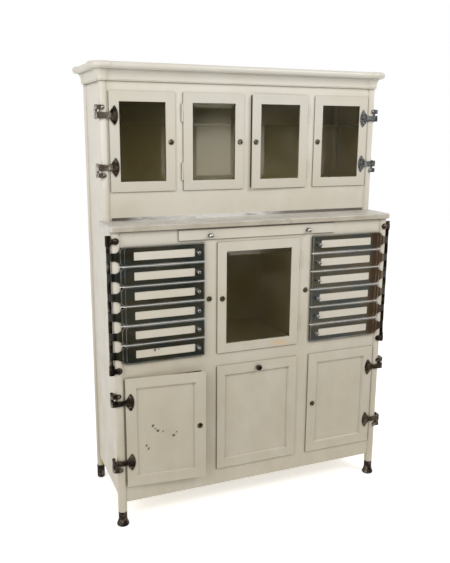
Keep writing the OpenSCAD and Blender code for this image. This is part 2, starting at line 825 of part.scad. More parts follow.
module fixed_fittings() {
    color(dark_metal) centred() both_sides() {
        hinge_pair(hinge_x, hinge_back, low_hinges) hinge_leaf(hinge_out, low_r);
        hinge_pair(up_hinge_x, setback + hinge_back, up_hinges) hinge_leaf(up_hinge_out, post_r);
        lock(door_x - lock_low, front_out, mid_z + mid_h / 2 + 3);
    }
}

// The pressed shell of a door: an overlapping face and a box behind it, open at the back
module door_shell(x0, x1, z0, z1, face) {
    difference() {
        union() {
            block([x0, face, z0], [x1, face + lip_t, z1]);
            block([x0 + box_in, face + lip_t, z0 + box_in], [x1 - box_in, face + door_t, z1 - box_in]);
        }
        block([x0 + box_in + door_wall, face + door_wall, z0 + box_in + door_wall],
              [x1 - box_in - door_wall, face + door_t + over, z1 - box_in - door_wall]);
    }
}

// A frustum that narrows from the face of a door to the floor of its panel
module panel_space(x0, x1, z0, z1, face, grow) {
    hull() {
        block([x0 - panel_slope - grow, face, z0 - panel_slope - grow],
              [x1 + panel_slope + grow, face + 0.01, z1 + panel_slope + grow]);
        block([x0 - grow, face + panel_depth + grow - 0.01, z0 - grow],
              [x1 + grow, face + panel_depth + grow, z1 + grow]);
    }
}

module panel_door(x0, x1, z0, z1, face) {
    px0 = x0 + panel_border;
    px1 = x1 - panel_border;
    pz0 = z0 + panel_border;
    pz1 = z1 - panel_border;
    difference() {
        union() {
            door_shell(x0, x1, z0, z1, face);
            panel_space(px0, px1, pz0, pz1, face + 0.5, door_wall - 0.5);
        }
        panel_space(px0, px1, pz0, pz1, face - 0.01, 0);
    }
}

module glazed_frame(x0, x1, z0, z1, face) {
    gx0 = x0 + glass_border;
    gx1 = x1 - glass_border;
    gz0 = z0 + glass_border;
    gz1 = z1 - glass_border;
    rim = glass_bite + door_wall;
    difference() {
        union() {
            door_shell(x0, x1, z0, z1, face);
            block([gx0 - rim, face + door_wall / 2, gz0 - rim],
                  [gx1 + rim, face + glass_depth + glass_t, gz1 + rim]);
        }
        block([gx0, face - over, gz0], [gx1, face + door_t + over, gz1]);
        block([gx0 - glass_bite, face + glass_depth, gz0 - glass_bite],
              [gx1 + glass_bite, face + door_t + over, gz1 + glass_bite]);
    }
}

// Glass with a wide bevel round its front face
module door_glass(x0, x1, z0, z1, face) {
    edge = glass_border - glass_bite;
    back = face + glass_depth + glass_t;
    inset = bevel_w + glass_bite;
    thin = glass_t / 2;
    hull() {
        block([x0 + edge, back - thin, z0 + edge], [x1 - edge, back, z1 - edge]);
        block([x0 + edge + inset, back - glass_t, z0 + edge + inset],
              [x1 - edge - inset, back, z1 - edge - inset]);
    }
    difference() {
        block([x0 + edge, back - glass_t, z0 + edge], [x1 - edge, back, z1 - edge]);
        block([x0 + edge + glass_bite, back - glass_t - over, z0 + edge + glass_bite],
              [x1 - edge - glass_bite, back + over, z1 - edge - glass_bite]);
    }
}

// Turns a piece about an upright axis
module swing(x, y, angle) {
    translate([x, y, 0]) rotate([0, 0, angle]) translate([-x, -y, 0]) children();
}

module upper_inner_pose(angle) {
    swing(up_inner_x1 + butt_off, up_face + 1, angle) children();
}

module upper_inner_frame() {
    glazed_frame(up_inner_x0, up_inner_x1, up_z, up_top, up_face);
    for (z = butt_heights(up_z, up_top)) butt_knuckle(up_inner_x1 + butt_off, up_face + 1, z);
}

// The upper doors run from 1 at the left to 4 at the right
module place_upper(n) {
    if (n <= 2) mirror([1, 0, 0]) children();
    else if (n == 3) upper_inner_pose(ajar_up) children();
    else children();
}

module upper_door_frame(n) {
    color(enamel) centred() place_upper(n) {
        if (n == 2 || n == 3) upper_inner_frame();
        else glazed_frame(up_outer_x0, up_edge_x, up_z, up_top, up_face);
    }
}

module upper_door_glass(n) {
    x0 = n == 2 || n == 3 ? up_inner_x0 : up_outer_x0;
    x1 = n == 2 || n == 3 ? up_inner_x1 : up_edge_x;
    color(clear_glass) centred() place_upper(n) door_glass(x0, x1, up_z, up_top, up_face);
}

module upper_door_fittings(n) {
    x0 = n == 2 || n == 3 ? up_inner_x0 : up_outer_x0;
    color(dark_metal) centred() place_upper(n) {
        lock(x0 + lock_up, up_face, (up_z + up_top) / 2);
        if (n == 1 || n == 4)
            hinge_pair(up_hinge_x, setback + hinge_back, up_hinges) hinge_arm(up_hinge_out, edge_up);
    }
}

module centre_door_frame() {
    color(enamel) centred() {
        glazed_frame(-mid_x, mid_x, mid_z, mid_z + mid_h, low_face);
        for (z = butt_heights(mid_z, mid_z + mid_h))
            butt_knuckle(mid_x + butt_off, low_face + 1, z);
    }
}

module centre_door_glass() {
    color(clear_glass) centred() door_glass(-mid_x, mid_x, mid_z, mid_z + mid_h, low_face);
}

module centre_door_lock() {
    color(dark_metal) centred() lock(-mid_x + lock_low - 3.5, low_face, mid_z + mid_h / 2);
}

module lower_right_door() {
    panel_door(door_x, low_edge_x, low_z, low_z + low_h, low_face);
}

module lower_right_fittings() {
    lock(door_x + lock_low, low_face, low_z + low_h / 2);
    hinge_pair(hinge_x, hinge_back, low_hinges) hinge_arm(hinge_out, edge_low);
}

module lower_left_pose() {
    mirror([1, 0, 0]) swing(hinge_x, hinge_back, ajar_low) children();
}

module lower_door_left() {
    color(enamel) centred() lower_left_pose() lower_right_door();
}

module lower_door_left_fittings() {
    color(dark_metal) centred() lower_left_pose() lower_right_fittings();
}

module lower_door_right() {
    color(enamel) centred() lower_right_door();
}

module lower_door_right_fittings() {
    color(dark_metal) centred() lower_right_fittings();
}

// The bin body is a box whose mouth is cut to a circle about the bin hinge
module bin_body() {
    half = mid_x - lap - bin_gap;
    back = low_face + lip_t;
    floor_z = low_z + lap + bin_gap;
    difference() {
        intersection() {
            translate([-half, bin_axis_y, bin_axis_z]) rotate([0, 90, 0])
                cylinder(r = bin_r, h = 2 * half);
            block([-half, back, floor_z], [half, back + bin_depth, low_z + low_h]);
        }
        block([-half + bin_wall, back - over, floor_z + bin_wall],
              [half - bin_wall, back + bin_depth - bin_wall, low_z + low_h + over]);
    }
}

module bin() {
    panel_half = mid_x - panel_border * 0.85;
    z0 = low_z + panel_border;
    z1 = low_z + low_h - panel_border;
    color(enamel) centred() {
        difference() {
            union() {
                block([-mid_x, low_face, bin_axis_z], [mid_x, low_face + lip_t, low_z + low_h]);
                translate([-mid_x, bin_axis_y, bin_axis_z]) rotate([0, 90, 0])
                    cylinder(r = bin_edge_r, h = 2 * mid_x);
                panel_space(-panel_half, panel_half, z0, z1, low_face + 0.5, door_wall - 0.5);
                bin_body();
            }
            panel_space(-panel_half, panel_half, z0, z1, low_face - 0.01, 0);
            for (x = bin_hinge_x) translate([x, 0, 0]) bin_knuckle();
        }
    }
}

// A turned knob that faces the front: a foot, a neck and a head
module knob(head_r) {
    reach = head_r * 2.6;
    rotate([90, 0, 0]) cylinder(r = head_r * 0.75, h = head_r * 0.16);
    rotate([90, 0, 0]) cylinder(r = head_r * 0.42, h = reach - head_r);
    translate([0, -reach + head_r, 0]) sphere(r = head_r);
}

module bin_knob() {
    color(dark_metal) centred() translate([0, low_face, low_z + low_h - bin_knob_drop]) {
        rotate([90, 0, 0]) rotate_extrude() polygon(bin_knob_r * [
            [0, 0], [0.6, 0], [0.45, 0.27], [0.5, 0.54], [0.9, 0.8], [1, 1.07], [0.9, 1.34],
            [0.6, 1.56], [0, 1.65]]);
    }
}

module shelf_board() {
    half = shelf_w / 2;
    color(enamel) centred() {
        block([-half, low_face, shelf_z], [half, low_face + lip_t, shelf_z + shelf_h]);
        difference() {
            block([-board_x, low_face + lip_t, board_z],
                  [board_x, low_face + lip_t + board_len, board_z + board_t]);
            block([-board_x + door_wall, low_face + lip_t + door_wall, board_z - over],
                  [board_x - door_wall, low_face + lip_t + board_len - door_wall,
                   board_z + board_t - door_wall]);
        }
    }
}

module shelf_knobs() {
    color(chrome) centred() both_sides()
        translate([shelf_knob_span / 2, low_face, shelf_z + shelf_h * 0.4]) knob(shelf_knob_r);
}

module window_shape(z) {
    half_h = window_h / 2 - window_r;
    mid = z + plate_h / 2;
    translate([window_x0 + window_r, mid - window_h / 2])
        square([window_x1 - window_x0 - 2 * window_r, window_h]);
    translate([window_x0, mid - half_h]) square([window_x1 - window_x0, 2 * half_h]);
    for (x = [window_x0 + window_r, window_x1 - window_r])
        for (s = [-1, 1]) translate([x, mid + s * half_h]) circle(r = window_r);
}

// A flat shape drawn in X and Z, made solid between two depths
module upright(y0, y1) {
    translate([0, y1, 0]) rotate([90, 0, 0]) linear_extrude(y1 - y0) children();
}

module pan_space(z, wall) {
    intersection() {
        translate([rod_x, 0, z + pan_gap + wall]) cylinder(r = pan_r - wall, h = plate_h - 2 * pan_gap);
        block([rod_x - pan_r, strap_y + wall, z + pan_gap + wall],
              [pan_side_x - wall, pan_rear - wall, z + plate_h - pan_gap + wall]);
    }
}

module tray_pan(n) {
    z = tray_base(n);
    difference() {
        pan_space(z, 0);
        pan_space(z, pan_wall);
    }
    upright(front_y + rim_t, strap_y) window_shape(z);
}

// Outline of a tray front, drawn inwards by a margin
module front_outline(z, margin) {
    half = plate_h / 2 - margin;
    end = tray_end_x - margin;
    translate([0, z + plate_h / 2]) polygon([
        [tray_free_x + margin, -half], [end - 14, -half], [end - 9, -half * 0.97], [end - 4, -half * 0.87],
        [end, -half * 0.68], [end, half * 0.68], [end - 4, half * 0.87], [end - 9, half * 0.97],
        [end - 14, half], [tray_free_x + margin, half]]);
}

// The strap of a tray front: it narrows, bends back beside the post and wraps round the rod
module strap(z) {
    bend = [post_x + 4 - rod_x, front_y];
    away = norm(bend);
    turn = atan2(-bend[1], -bend[0]) - asin(knuckle_r / away);
    tail = sqrt(away * away - knuckle_r * knuckle_r) * [cos(turn), sin(turn)];
    thick = [0, strap_y - front_y];
    upright(front_y, strap_y) translate([0, z + plate_h / 2]) polygon([
        [tray_end_x - rim_w, -plate_h * 0.34], [tray_end_x, -plate_h * 0.32], [rod_x + bend[0], -strap_h / 2],
        [rod_x + bend[0], strap_h / 2], [tray_end_x, plate_h * 0.32], [tray_end_x - rim_w, plate_h * 0.34]]);
    translate([rod_x, 0, z + (plate_h - strap_h) / 2]) {
        cylinder(r = knuckle_r, h = strap_h);
        linear_extrude(strap_h) polygon([bend, bend + tail, bend + tail + thick, bend + thick]);
    }
}

module tray_front(n) {
    z = tray_base(n);
    fold_t = 1.5;
    fold_x = tray_end_x - 14;
    difference() {
        union() {
            upright(front_y, strap_y) front_outline(z, 0);
            upright(front_y - rim_t, front_y) difference() {
                front_outline(z, 0);
                front_outline(z, rim_w);
            }
            upright(front_y - rim_t, front_y) difference() {
                translate([-bead_back, 0]) front_outline(z, 0);
                translate([-bead_back - bead_w, 0]) front_outline(z, 0);
            }
            block([tray_free_x, strap_y, z], [fold_x, strap_y + fold_d, z + fold_t]);
            block([tray_free_x, strap_y, z + plate_h - fold_t], [fold_x, strap_y + fold_d, z + plate_h]);
            block([tray_free_x, strap_y, z], [tray_free_x + fold_t, strap_y + fold_d, z + plate_h]);
            strap(z);
        }
        upright(front_y - over, strap_y + over / 4) window_shape(z);
        translate([rod_x, 0, z]) cylinder(r = rod_r + pin_gap, h = plate_h);
    }
    translate([tray_free_x + tray_knob_in, front_y, z + plate_h / 2]) knob(tray_knob_r);
}

module on_side(side) {
    if (side == "left") mirror([1, 0, 0]) children();
    else children();
}

corner_posts();
feet();
side_panels();
back_panel();
lower_front_frame();
inner_case();
marble_worktop();
trim_strip();
upper_front_frame();
cornice();
glass_shelf();
tray_rods();
fixed_fittings();
shelf_board();
shelf_knobs();
bin();
bin_knob();
centre_door_frame();
centre_door_glass();
centre_door_lock();
lower_door_left();
lower_door_left_fittings();
lower_door_right();
lower_door_right_fittings();
for (n = [1:4]) {
    upper_door_frame(n);
    upper_door_glass(n);
    upper_door_fittings(n);
}
for (side = ["left", "right"]) for (n = [1:tray_count]) {
    color(enamel) centred() on_side(side) tray_pan(n);
    color(nickel) centred() on_side(side) tray_front(n);
}
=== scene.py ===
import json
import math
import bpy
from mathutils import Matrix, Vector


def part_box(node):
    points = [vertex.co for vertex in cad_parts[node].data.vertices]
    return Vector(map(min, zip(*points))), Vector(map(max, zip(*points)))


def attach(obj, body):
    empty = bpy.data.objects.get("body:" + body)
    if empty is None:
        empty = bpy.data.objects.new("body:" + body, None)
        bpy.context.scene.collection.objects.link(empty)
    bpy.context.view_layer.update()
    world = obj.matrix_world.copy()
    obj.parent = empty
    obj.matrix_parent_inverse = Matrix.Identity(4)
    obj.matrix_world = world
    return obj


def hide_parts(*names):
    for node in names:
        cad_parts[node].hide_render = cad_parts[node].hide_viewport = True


bl_info = {
    "name": "Dental Cabinet",
    "version": (1, 0, 0),
    "blender": (4, 5, 0),
    "location": "View3D > Sidebar > Cabinet",
    "description": "Dresses an enamelled dental cabinet with its finishes, its stage and its camera",
    "category": "Object",
}

import bmesh
import bpy
from mathutils import Matrix, Vector

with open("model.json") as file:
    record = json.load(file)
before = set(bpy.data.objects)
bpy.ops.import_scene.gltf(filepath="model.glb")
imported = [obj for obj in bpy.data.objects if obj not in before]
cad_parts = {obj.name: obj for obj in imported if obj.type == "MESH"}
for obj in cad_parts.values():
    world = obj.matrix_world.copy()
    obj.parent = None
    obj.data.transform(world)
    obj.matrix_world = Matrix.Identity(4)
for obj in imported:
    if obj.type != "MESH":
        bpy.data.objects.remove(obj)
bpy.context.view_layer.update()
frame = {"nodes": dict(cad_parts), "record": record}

MM = 0.001

# Past the cabinet on every side, and above it, in metres
BESIDE = 1.0
ABOVE = 2.0

# How far out the locks of the lower doors and of the outer upper doors lie at most, and a height
# just above the worktop, which parts the lower hinges from the upper ones, in metres
LOWER_LOCKS = 0.3
UPPER_LOCKS = 0.4
WORKTOP = 1.1

# Painted reflection along the trim strip: its tones, each with its share of the way from the left end to the
# right
TRIM_REFLECTION_TONES = (
    (0.0, "#6f6a65"), (0.05, "#7d7874"), (0.09, "#c9c8ca"), (0.30, "#f2f2f4"), (0.56, "#e6e6e8"),
    (0.66, "#8d8a88"), (0.95, "#77736f"))

# The tones of the folds in the dark studio cloth, each with the level of the pattern that has it
CLOTH_TONES = ((0.3, "#464436"), (0.5, "#7a7666"), (0.75, "#b5ac9f"))
CLOTH_PALE = "#efe8d6"


def linear(code):
    """Turns an sRGB hex colour into linear red, green, blue and alpha."""
    channels = [int(code[n:n + 2], 16) / 255 for n in (1, 3, 5)]
    return tuple(c / 12.92 if c <= 0.04045 else ((c + 0.055) / 1.055) ** 2.4 for c in channels) + (1.0,)


def colour(name, description, code):
    """A colour setting, with its default written as an sRGB hex value."""
    return bpy.props.FloatVectorProperty(
        name=name, description=description, subtype="COLOR", size=4, min=0, max=1, default=linear(code))


def size(name, description, millimetres):
    """A size setting in metres, with its default written in millimetres."""
    return bpy.props.FloatProperty(
        name=name, description=description, default=millimetres * MM, min=0, subtype="DISTANCE", unit="LENGTH")


def distance(name, description, metres):
    """A setting of a place along one axis, in metres."""
    return bpy.props.FloatProperty(
        name=name, description=description, default=metres, subtype="DISTANCE", unit="LENGTH")


def angle(name, description, degrees):
    """An angle setting, with its default written in degrees."""
    return bpy.props.FloatProperty(
        name=name, description=description, default=math.radians(degrees), subtype="ANGLE", unit="ROTATION")


class CabinetFinish(bpy.types.PropertyGroup):
    """Colours of the cabinet's finishes."""

    enamel: colour("Enamel", "Cream stove enamel of the body and the doors", "#d9d4c8")
    # Painted highlight: clean enamel lighter than the body, on the bars behind the tray fronts
    clean_enamel_highlight: colour("Clean enamel", "Enamel of the bars behind the tray fronts", "#fbf9f4")
    enamel_aged: colour("Aged enamel", "Enamel where handling and heat have yellowed it", "#cdc4ae")
    # Grime for the specks and the marble's front, and grime with painted shade low on the body
    grime_and_shade: colour("Grime", "Dirt that gathers low on the body", "#a3967b")
    enamel_stain: colour("Yellow stain", "Stain low on the centre door", "#d2a86c")
    # Dirt and painted shade in the seams, and a painted shadow in the gap at the ajar door
    seam: colour("Seam dirt", "Dark dirt and old polish in the seams round the doors", "#54492f")
    rust: colour("Rust", "Rust at chips in the enamel", "#4a3626")
    # Yellowed with age, and darker as painted shade for the cabinet's inside
    inside: colour("Inside enamel", "Enamel inside the cabinet, yellowed with age", "#c2ad77")
    nickel_dark: colour("Dark nickel", "Nickel plate of the tray fronts", "#93928a")
    nickel_brown: colour("Brown tarnish", "Brown tarnish on the nickel of the tray fronts", "#6c604a")
    nickel_blue: colour("Blue tarnish", "Blue tarnish on the nickel of the tray fronts", "#717f88")
    nickel_rusty: colour("Rusty nickel", "Worn plate at the tray fronts' hinge ends on the right", "#6a4c30")
    nickel_bend: colour("Nickel at the bend", "Darkest nickel, on the straps of the tray fronts", "#333330")
    tray_knob: colour("Tray knobs", "Chromium plate of the balls on the tray fronts", "#8b8a88")
    hinge_bright: colour("Hinge nickel", "Nickel that is left on the upper hinges", "#b9b1af")
    hinge_blue: colour("Hinge blue", "Blue-grey nickel of the upper hinges on the right", "#a6acb8")
    hinge_brown: colour("Hinge tarnish", "Brown tarnish of the lower hinges and the rods", "#83776a")
    hinge_dark: colour("Hinge patina", "Black patina of the hinges and the ferrules", "#2a231e")
    lock: colour("Lock nickel", "Yellowish nickel of the locks", "#aba590")
    metal_dirt: colour("Metal dirt", "Dirt packed in the corners of the metalwork", "#1a130d")
    # Chrome: the plate of the small knobs, and a painted highlight on the tray rims
    chrome: colour("Chrome", "Chromium plate of the small knobs and worn rims", "#b4b2b0")
    marble: colour("Marble", "Ground of the marble worktop", "#c5c0b6")
    marble_vein: colour("Marble vein", "Veins in the marble", "#8f8b85")
    marble_stain: colour("Marble stain", "Brown stain that has soaked into the marble", "#7d5c3a")
    glass: colour("Glass", "Tint of the door glass", "#eef1ea")
    floor: colour("Floor", "Pale floor under the cabinet", "#f4f4f4")


class CabinetSizes(bpy.types.PropertyGroup):
    """Sizes of the dressed details, and the camera's place, turn and lens."""

    edge: size("Edge rounding", "Rounding of the folded sheet edges of the doors", 1.2)
    fine_edge: size("Fine edge rounding", "Rounding of the edges of the tray fronts and the metalwork", 0.5)
    camera_x: distance("Camera X", "Place of the camera from left to right", -1.0127)
    camera_y: distance("Camera Y", "Place of the camera from front to back", -2.318)
    camera_z: distance("Camera Z", "Height of the camera", 1.3946)
    camera_yaw: angle("Camera yaw", "Turn of the camera towards +X", 22.36)
    camera_pitch: angle("Camera pitch", "Downward tilt of the camera", 12.86)
    camera_roll: angle("Camera roll", "Roll of the camera", 0.408)
    camera_lens: bpy.props.FloatProperty(
        name="Focal length", description="Focal length on a frame 36 mm high", default=43.182,
        subtype="DISTANCE_CAMERA", unit="CAMERA")


def add(tree, kind, inputs=None, stops=(), **settings):
    """Adds a node, sets its properties, fills or links its sockets and sets its colour stops."""
    node = tree.nodes.new(kind)
    for name, value in settings.items():
        setattr(node, name, value)
    for key, value in (inputs or {}).items():
        if isinstance(value, bpy.types.NodeSocket):
            tree.links.new(value, node.inputs[key])
        else:
            node.inputs[key].default_value = value
    for number, (place, value) in enumerate(stops):
        while len(node.color_ramp.elements) <= number:
            node.color_ramp.elements.new(place)
        node.color_ramp.elements[number].position = place
        node.color_ramp.elements[number].color = value
    return node


def blank_material(name):
    """A new material with no nodes, and its node tree."""
    material = bpy.data.materials.new(name)
    material.use_nodes = True
    material.node_tree.nodes.clear()
    return material, material.node_tree


def within(tree, axes, corners):
    """One inside a box between a lowest and a highest corner, and nought outside it."""
    product = None
    for axis, low, high in zip("XYZ", *corners):
        near = add(tree, "ShaderNodeMath", {0: axes.outputs[axis], 1: (low + high) / 2, 2: (high - low) / 2},
                   operation="COMPARE")
        product = near if product is None else add(tree, "ShaderNodeMath", {
            0: product.outputs["Value"], 1: near.outputs["Value"]}, operation="MULTIPLY")
    return product.outputs["Value"]


def packed_corners(tree, under, reach, strength, dirt):
    """The colour under it with dirt in the corners, where the metal within reach shuts out the light."""
    crevice = add(tree, "ShaderNodeAmbientOcclusion", {"Distance": reach}, samples=8)
    packed = add(tree, "ShaderNodeMapRange", {
        "Value": crevice.outputs["AO"], "From Min": 0.7, "From Max": 0.3, "To Max": strength})
    dirty = add(tree, "ShaderNodeMix", {
        "Factor": packed.outputs["Result"], "A": under, "B": dirt}, data_type="RGBA")
    return dirty.outputs["Result"]


def wiping_marks(tree, place, smooth, rough):
    """A roughness between smooth and rough in level marks, about 30 mm long and 2.5 mm apart."""
    marks = add(tree, "ShaderNodeTexNoise", {
        "Vector": add(tree, "ShaderNodeMapping", {"Vector": place, "Scale": (30, 30, 420)}).outputs["Vector"],
        "Scale": 1.0, "Detail": 3})
    dull = add(tree, "ShaderNodeMapRange", {
        "Value": marks.outputs["Fac"], "From Min": 0.3, "From Max": 0.7, "To Min": smooth, "To Max": rough})
    return dull.outputs["Result"]


def seen_directly(tree):
    """One for what the camera sees, also in metal and through glass, and nought for other light."""
    rays = add(tree, "ShaderNodeLightPath")
    seen = rays.outputs["Is Camera Ray"]
    for kind in ("Is Glossy Ray", "Is Transmission Ray"):
        either = add(tree, "ShaderNodeMath", {0: seen, 1: rays.outputs[kind]}, operation="MAXIMUM")
        seen = either.outputs["Value"]
    return seen


def stove_enamel(name, finish, wear=1.0, tone=1.0, packed_dirt_and_shade=0.9, chips=(), areas=(), yellowed=None):
    """Stove enamel on sheet steel, old and handled.

    It gives a soft gloss over a faintly rippled cream, with warm patches, dark dirt and painted shade
    in the seams, grime and painted shade darker towards the floor, and fine dark specks. Wear is the
    strength of these marks, tone a scale on the enamel's lightness, painted light and shade that makes
    some parts lighter and others darker, and packed_dirt_and_shade the strength of the dirt and painted
    shade in the seams. There are rusty chips at the places in chips, each given as X, Z and radius,
    and a yellow stain at yellowed, its X, Z and length. Each of the areas, a box and its colour,
    covers the rest.
    """
    # Tone scales the enamel's lightness for this part: painted light and shade
    ground = [part * tone for part in finish.enamel]
    material, tree = blank_material(name)
    place = add(tree, "ShaderNodeTexCoord").outputs["Object"]

    # Warm patches about 220 mm across, where handling and heat have aged the enamel
    patches = add(tree, "ShaderNodeTexNoise", {
        "Vector": place, "Scale": 1 / (220 * MM), "Detail": 4, "Roughness": 0.6})
    patch_mask = add(tree, "ShaderNodeMapRange", {
        "Value": patches.outputs["Fac"], "From Min": 0.42, "From Max": 0.75, "To Max": 0.7 * wear})
    patchy = add(tree, "ShaderNodeMix", {
        "Factor": patch_mask.outputs["Result"], "A": ground, "B": finish.enamel_aged}, data_type="RGBA")

    # Grime and painted shade, darker towards the bottom: it starts below the cornice and is full low on the
    # body, in streaks about 80 mm wide
    axes = add(tree, "ShaderNodeSeparateXYZ", {"Vector": place})
    low = add(tree, "ShaderNodeMapRange", {
        "Value": axes.outputs["Z"], "From Min": 1.42, "From Max": 0.35, "To Max": 1.15 * wear})
    streaks = add(tree, "ShaderNodeTexNoise", {
        "Vector": add(tree, "ShaderNodeMapping", {"Vector": place, "Scale": (12, 12, 7)}).outputs["Vector"],
        "Scale": 1.0, "Detail": 5, "Roughness": 0.6})
    uneven = add(tree, "ShaderNodeMapRange", {
        "Value": streaks.outputs["Fac"], "From Min": 0.3, "From Max": 0.7, "To Min": 0.42, "To Max": 0.58})
    dirt = add(tree, "ShaderNodeMath", {0: low.outputs["Result"], 1: uneven.outputs["Result"]},
               operation="MULTIPLY")
    dirty = add(tree, "ShaderNodeMix", {
        "Factor": dirt.outputs["Value"], "A": patchy.outputs["Result"], "B": finish.grime_and_shade},
        data_type="RGBA")

    # Specks, drawn coarser than real ones so that they show
    grain = add(tree, "ShaderNodeTexNoise", {
        "Vector": place, "Scale": 1 / (5 * MM), "Detail": 3, "Roughness": 0.7})
    speck = add(tree, "ShaderNodeMapRange", {
        "Value": grain.outputs["Fac"], "From Min": 0.66, "From Max": 0.74, "To Max": 0.35 * wear})
    specked = add(tree, "ShaderNodeMix", {
        "Factor": speck.outputs["Result"], "A": dirty.outputs["Result"], "B": finish.grime_and_shade},
        data_type="RGBA")

    # Dirt and painted shade in the seams: an occlusion leaned up and to the right darkens the enamel most where
    # a ledge to the right or above stands near, painting the soft shadow beside and under the doors
    facing = add(tree, "ShaderNodeNewGeometry").outputs["Normal"]
    leaning = add(tree, "ShaderNodeVectorMath", {0: facing, 1: (0.5, 0, 0.65)}, operation="ADD")
    towards = add(tree, "ShaderNodeVectorMath", {0: leaning.outputs["Vector"]}, operation="NORMALIZE")
    crevice = add(tree, "ShaderNodeAmbientOcclusion", {
        "Distance": 12 * MM, "Normal": towards.outputs["Vector"]}, samples=8)
    packed = add(tree, "ShaderNodeMapRange", {
        "Value": crevice.outputs["AO"], "From Min": 0.80, "From Max": 0.30, "To Max": packed_dirt_and_shade * wear})
    painted = add(tree, "ShaderNodeMix", {
        "Factor": packed.outputs["Result"], "A": specked.outputs["Result"], "B": finish.seam},
        data_type="RGBA")

    # Chips and a stain with ragged outlines: the place is pushed about by up to fray, half of it on
    # the mean, before its distance from their middle is taken
    fray = 24 * MM
    mean = fray / 2
    torn = add(tree, "ShaderNodeTexNoise", {
        "Vector": place, "Scale": 1 / (6 * MM), "Detail": 6, "Roughness": 0.8})
    push = add(tree, "ShaderNodeVectorMath", {0: torn.outputs["Color"], "Scale": fray}, operation="SCALE")
    ragged = add(tree, "ShaderNodeVectorMath", {0: place, 1: push.outputs["Vector"]}, operation="ADD")
    for x, z, radius in chips:
        flat = add(tree, "ShaderNodeVectorMath", {0: ragged.outputs["Vector"], 1: (1, 0, 1)},
                   operation="MULTIPLY")
        away = add(tree, "ShaderNodeVectorMath", {0: flat.outputs["Vector"], 1: (x + mean, 0, z + mean)},
                   operation="DISTANCE")
        chip = add(tree, "ShaderNodeMapRange", {
            "Value": away.outputs["Value"], "From Min": radius, "From Max": radius * 0.6})
        painted = add(tree, "ShaderNodeMix", {
            "Factor": chip.outputs["Result"], "A": painted.outputs["Result"], "B": finish.rust},
            data_type="RGBA")
    if yellowed:
        # A smear of that length and about 12 mm high
        x, z, length = yellowed
        along, up = 1 / length, 85
        flat = add(tree, "ShaderNodeVectorMath", {0: ragged.outputs["Vector"], 1: (along, 0, up)},
                   operation="MULTIPLY")
        away = add(tree, "ShaderNodeVectorMath", {
            0: flat.outputs["Vector"], 1: ((x + mean) * along, 0, (z + mean) * up)}, operation="DISTANCE")
        stain = add(tree, "ShaderNodeMapRange", {
            "Value": away.outputs["Value"], "From Min": 1.2, "From Max": 0.4, "To Max": 0.4})
        painted = add(tree, "ShaderNodeMix", {
            "Factor": stain.outputs["Result"], "A": painted.outputs["Result"], "B": finish.enamel_stain},
            data_type="RGBA")
    for box, shade in areas:
        painted = add(tree, "ShaderNodeMix", {
            "Factor": within(tree, axes, box), "A": painted.outputs["Result"], "B": shade}, data_type="RGBA")

    # A gloss dulled where hands and cloths have been, over the ripple of sprayed enamel
    handling = add(tree, "ShaderNodeTexNoise", {
        "Vector": place, "Scale": 1 / (60 * MM), "Detail": 6, "Roughness": 0.6})
    gloss = add(tree, "ShaderNodeMapRange", {
        "Value": handling.outputs["Fac"], "From Min": 0.3, "From Max": 0.75, "To Min": 0.28, "To Max": 0.44})
    ripple = add(tree, "ShaderNodeTexNoise", {"Vector": place, "Scale": 1 / (6 * MM), "Detail": 2})
    bump = add(tree, "ShaderNodeBump", {
        "Height": ripple.outputs["Fac"], "Strength": 0.06, "Distance": 1 * MM})
    shader = add(tree, "ShaderNodeBsdfPrincipled", {
        "Base Color": painted.outputs["Result"], "Roughness": gloss.outputs["Result"],
        "Normal": bump.outputs["Normal"], "IOR": 1.5})
    add(tree, "ShaderNodeOutputMaterial", {"Surface": shader.outputs["BSDF"]})
    return material


def nickel_plate(name, finish, ground, tarnish, gloss, patch, spread):
    """Nickel plate on steel, polished once and tarnished since.

    It gives a metal shine that turns duller and darker in soft-edged patches, with brown dirt in
    the corners and fine wiping marks. Gloss is its least and greatest roughness, patch the size of
    the tarnished patches in millimetres, and spread the levels at which they start and are full.
    """
    material, tree = blank_material(name)
    place = add(tree, "ShaderNodeTexCoord").outputs["Object"]
    cloud = add(tree, "ShaderNodeTexNoise", {
        "Vector": place, "Scale": 1 / (patch * MM), "Detail": 5, "Roughness": 0.6})
    mask = add(tree, "ShaderNodeMapRange", {
        "Value": cloud.outputs["Fac"], "From Min": spread[0], "From Max": spread[1]})
    tone = add(tree, "ShaderNodeMix", {
        "Factor": mask.outputs["Result"], "A": ground, "B": tarnish}, data_type="RGBA")
    dirty = packed_corners(tree, tone.outputs["Result"], 6 * MM, 0.8, finish.metal_dirt)
    dull = wiping_marks(tree, place, *gloss)
    duller = add(tree, "ShaderNodeMath", {0: mask.outputs["Result"], 1: 0.10, 2: dull},
                 operation="MULTIPLY_ADD")
    dents = add(tree, "ShaderNodeTexNoise", {"Vector": place, "Scale": 1 / (18 * MM), "Detail": 3})
    bump = add(tree, "ShaderNodeBump", {
        "Height": dents.outputs["Fac"], "Strength": 0.12, "Distance": 2 * MM})
    shader = add(tree, "ShaderNodeBsdfPrincipled", {
        "Base Color": dirty, "Metallic": 1.0, "Roughness": duller.outputs["Value"],
        "Normal": bump.outputs["Normal"]})
    add(tree, "ShaderNodeOutputMaterial", {"Surface": shader.outputs["BSDF"]})
    return material


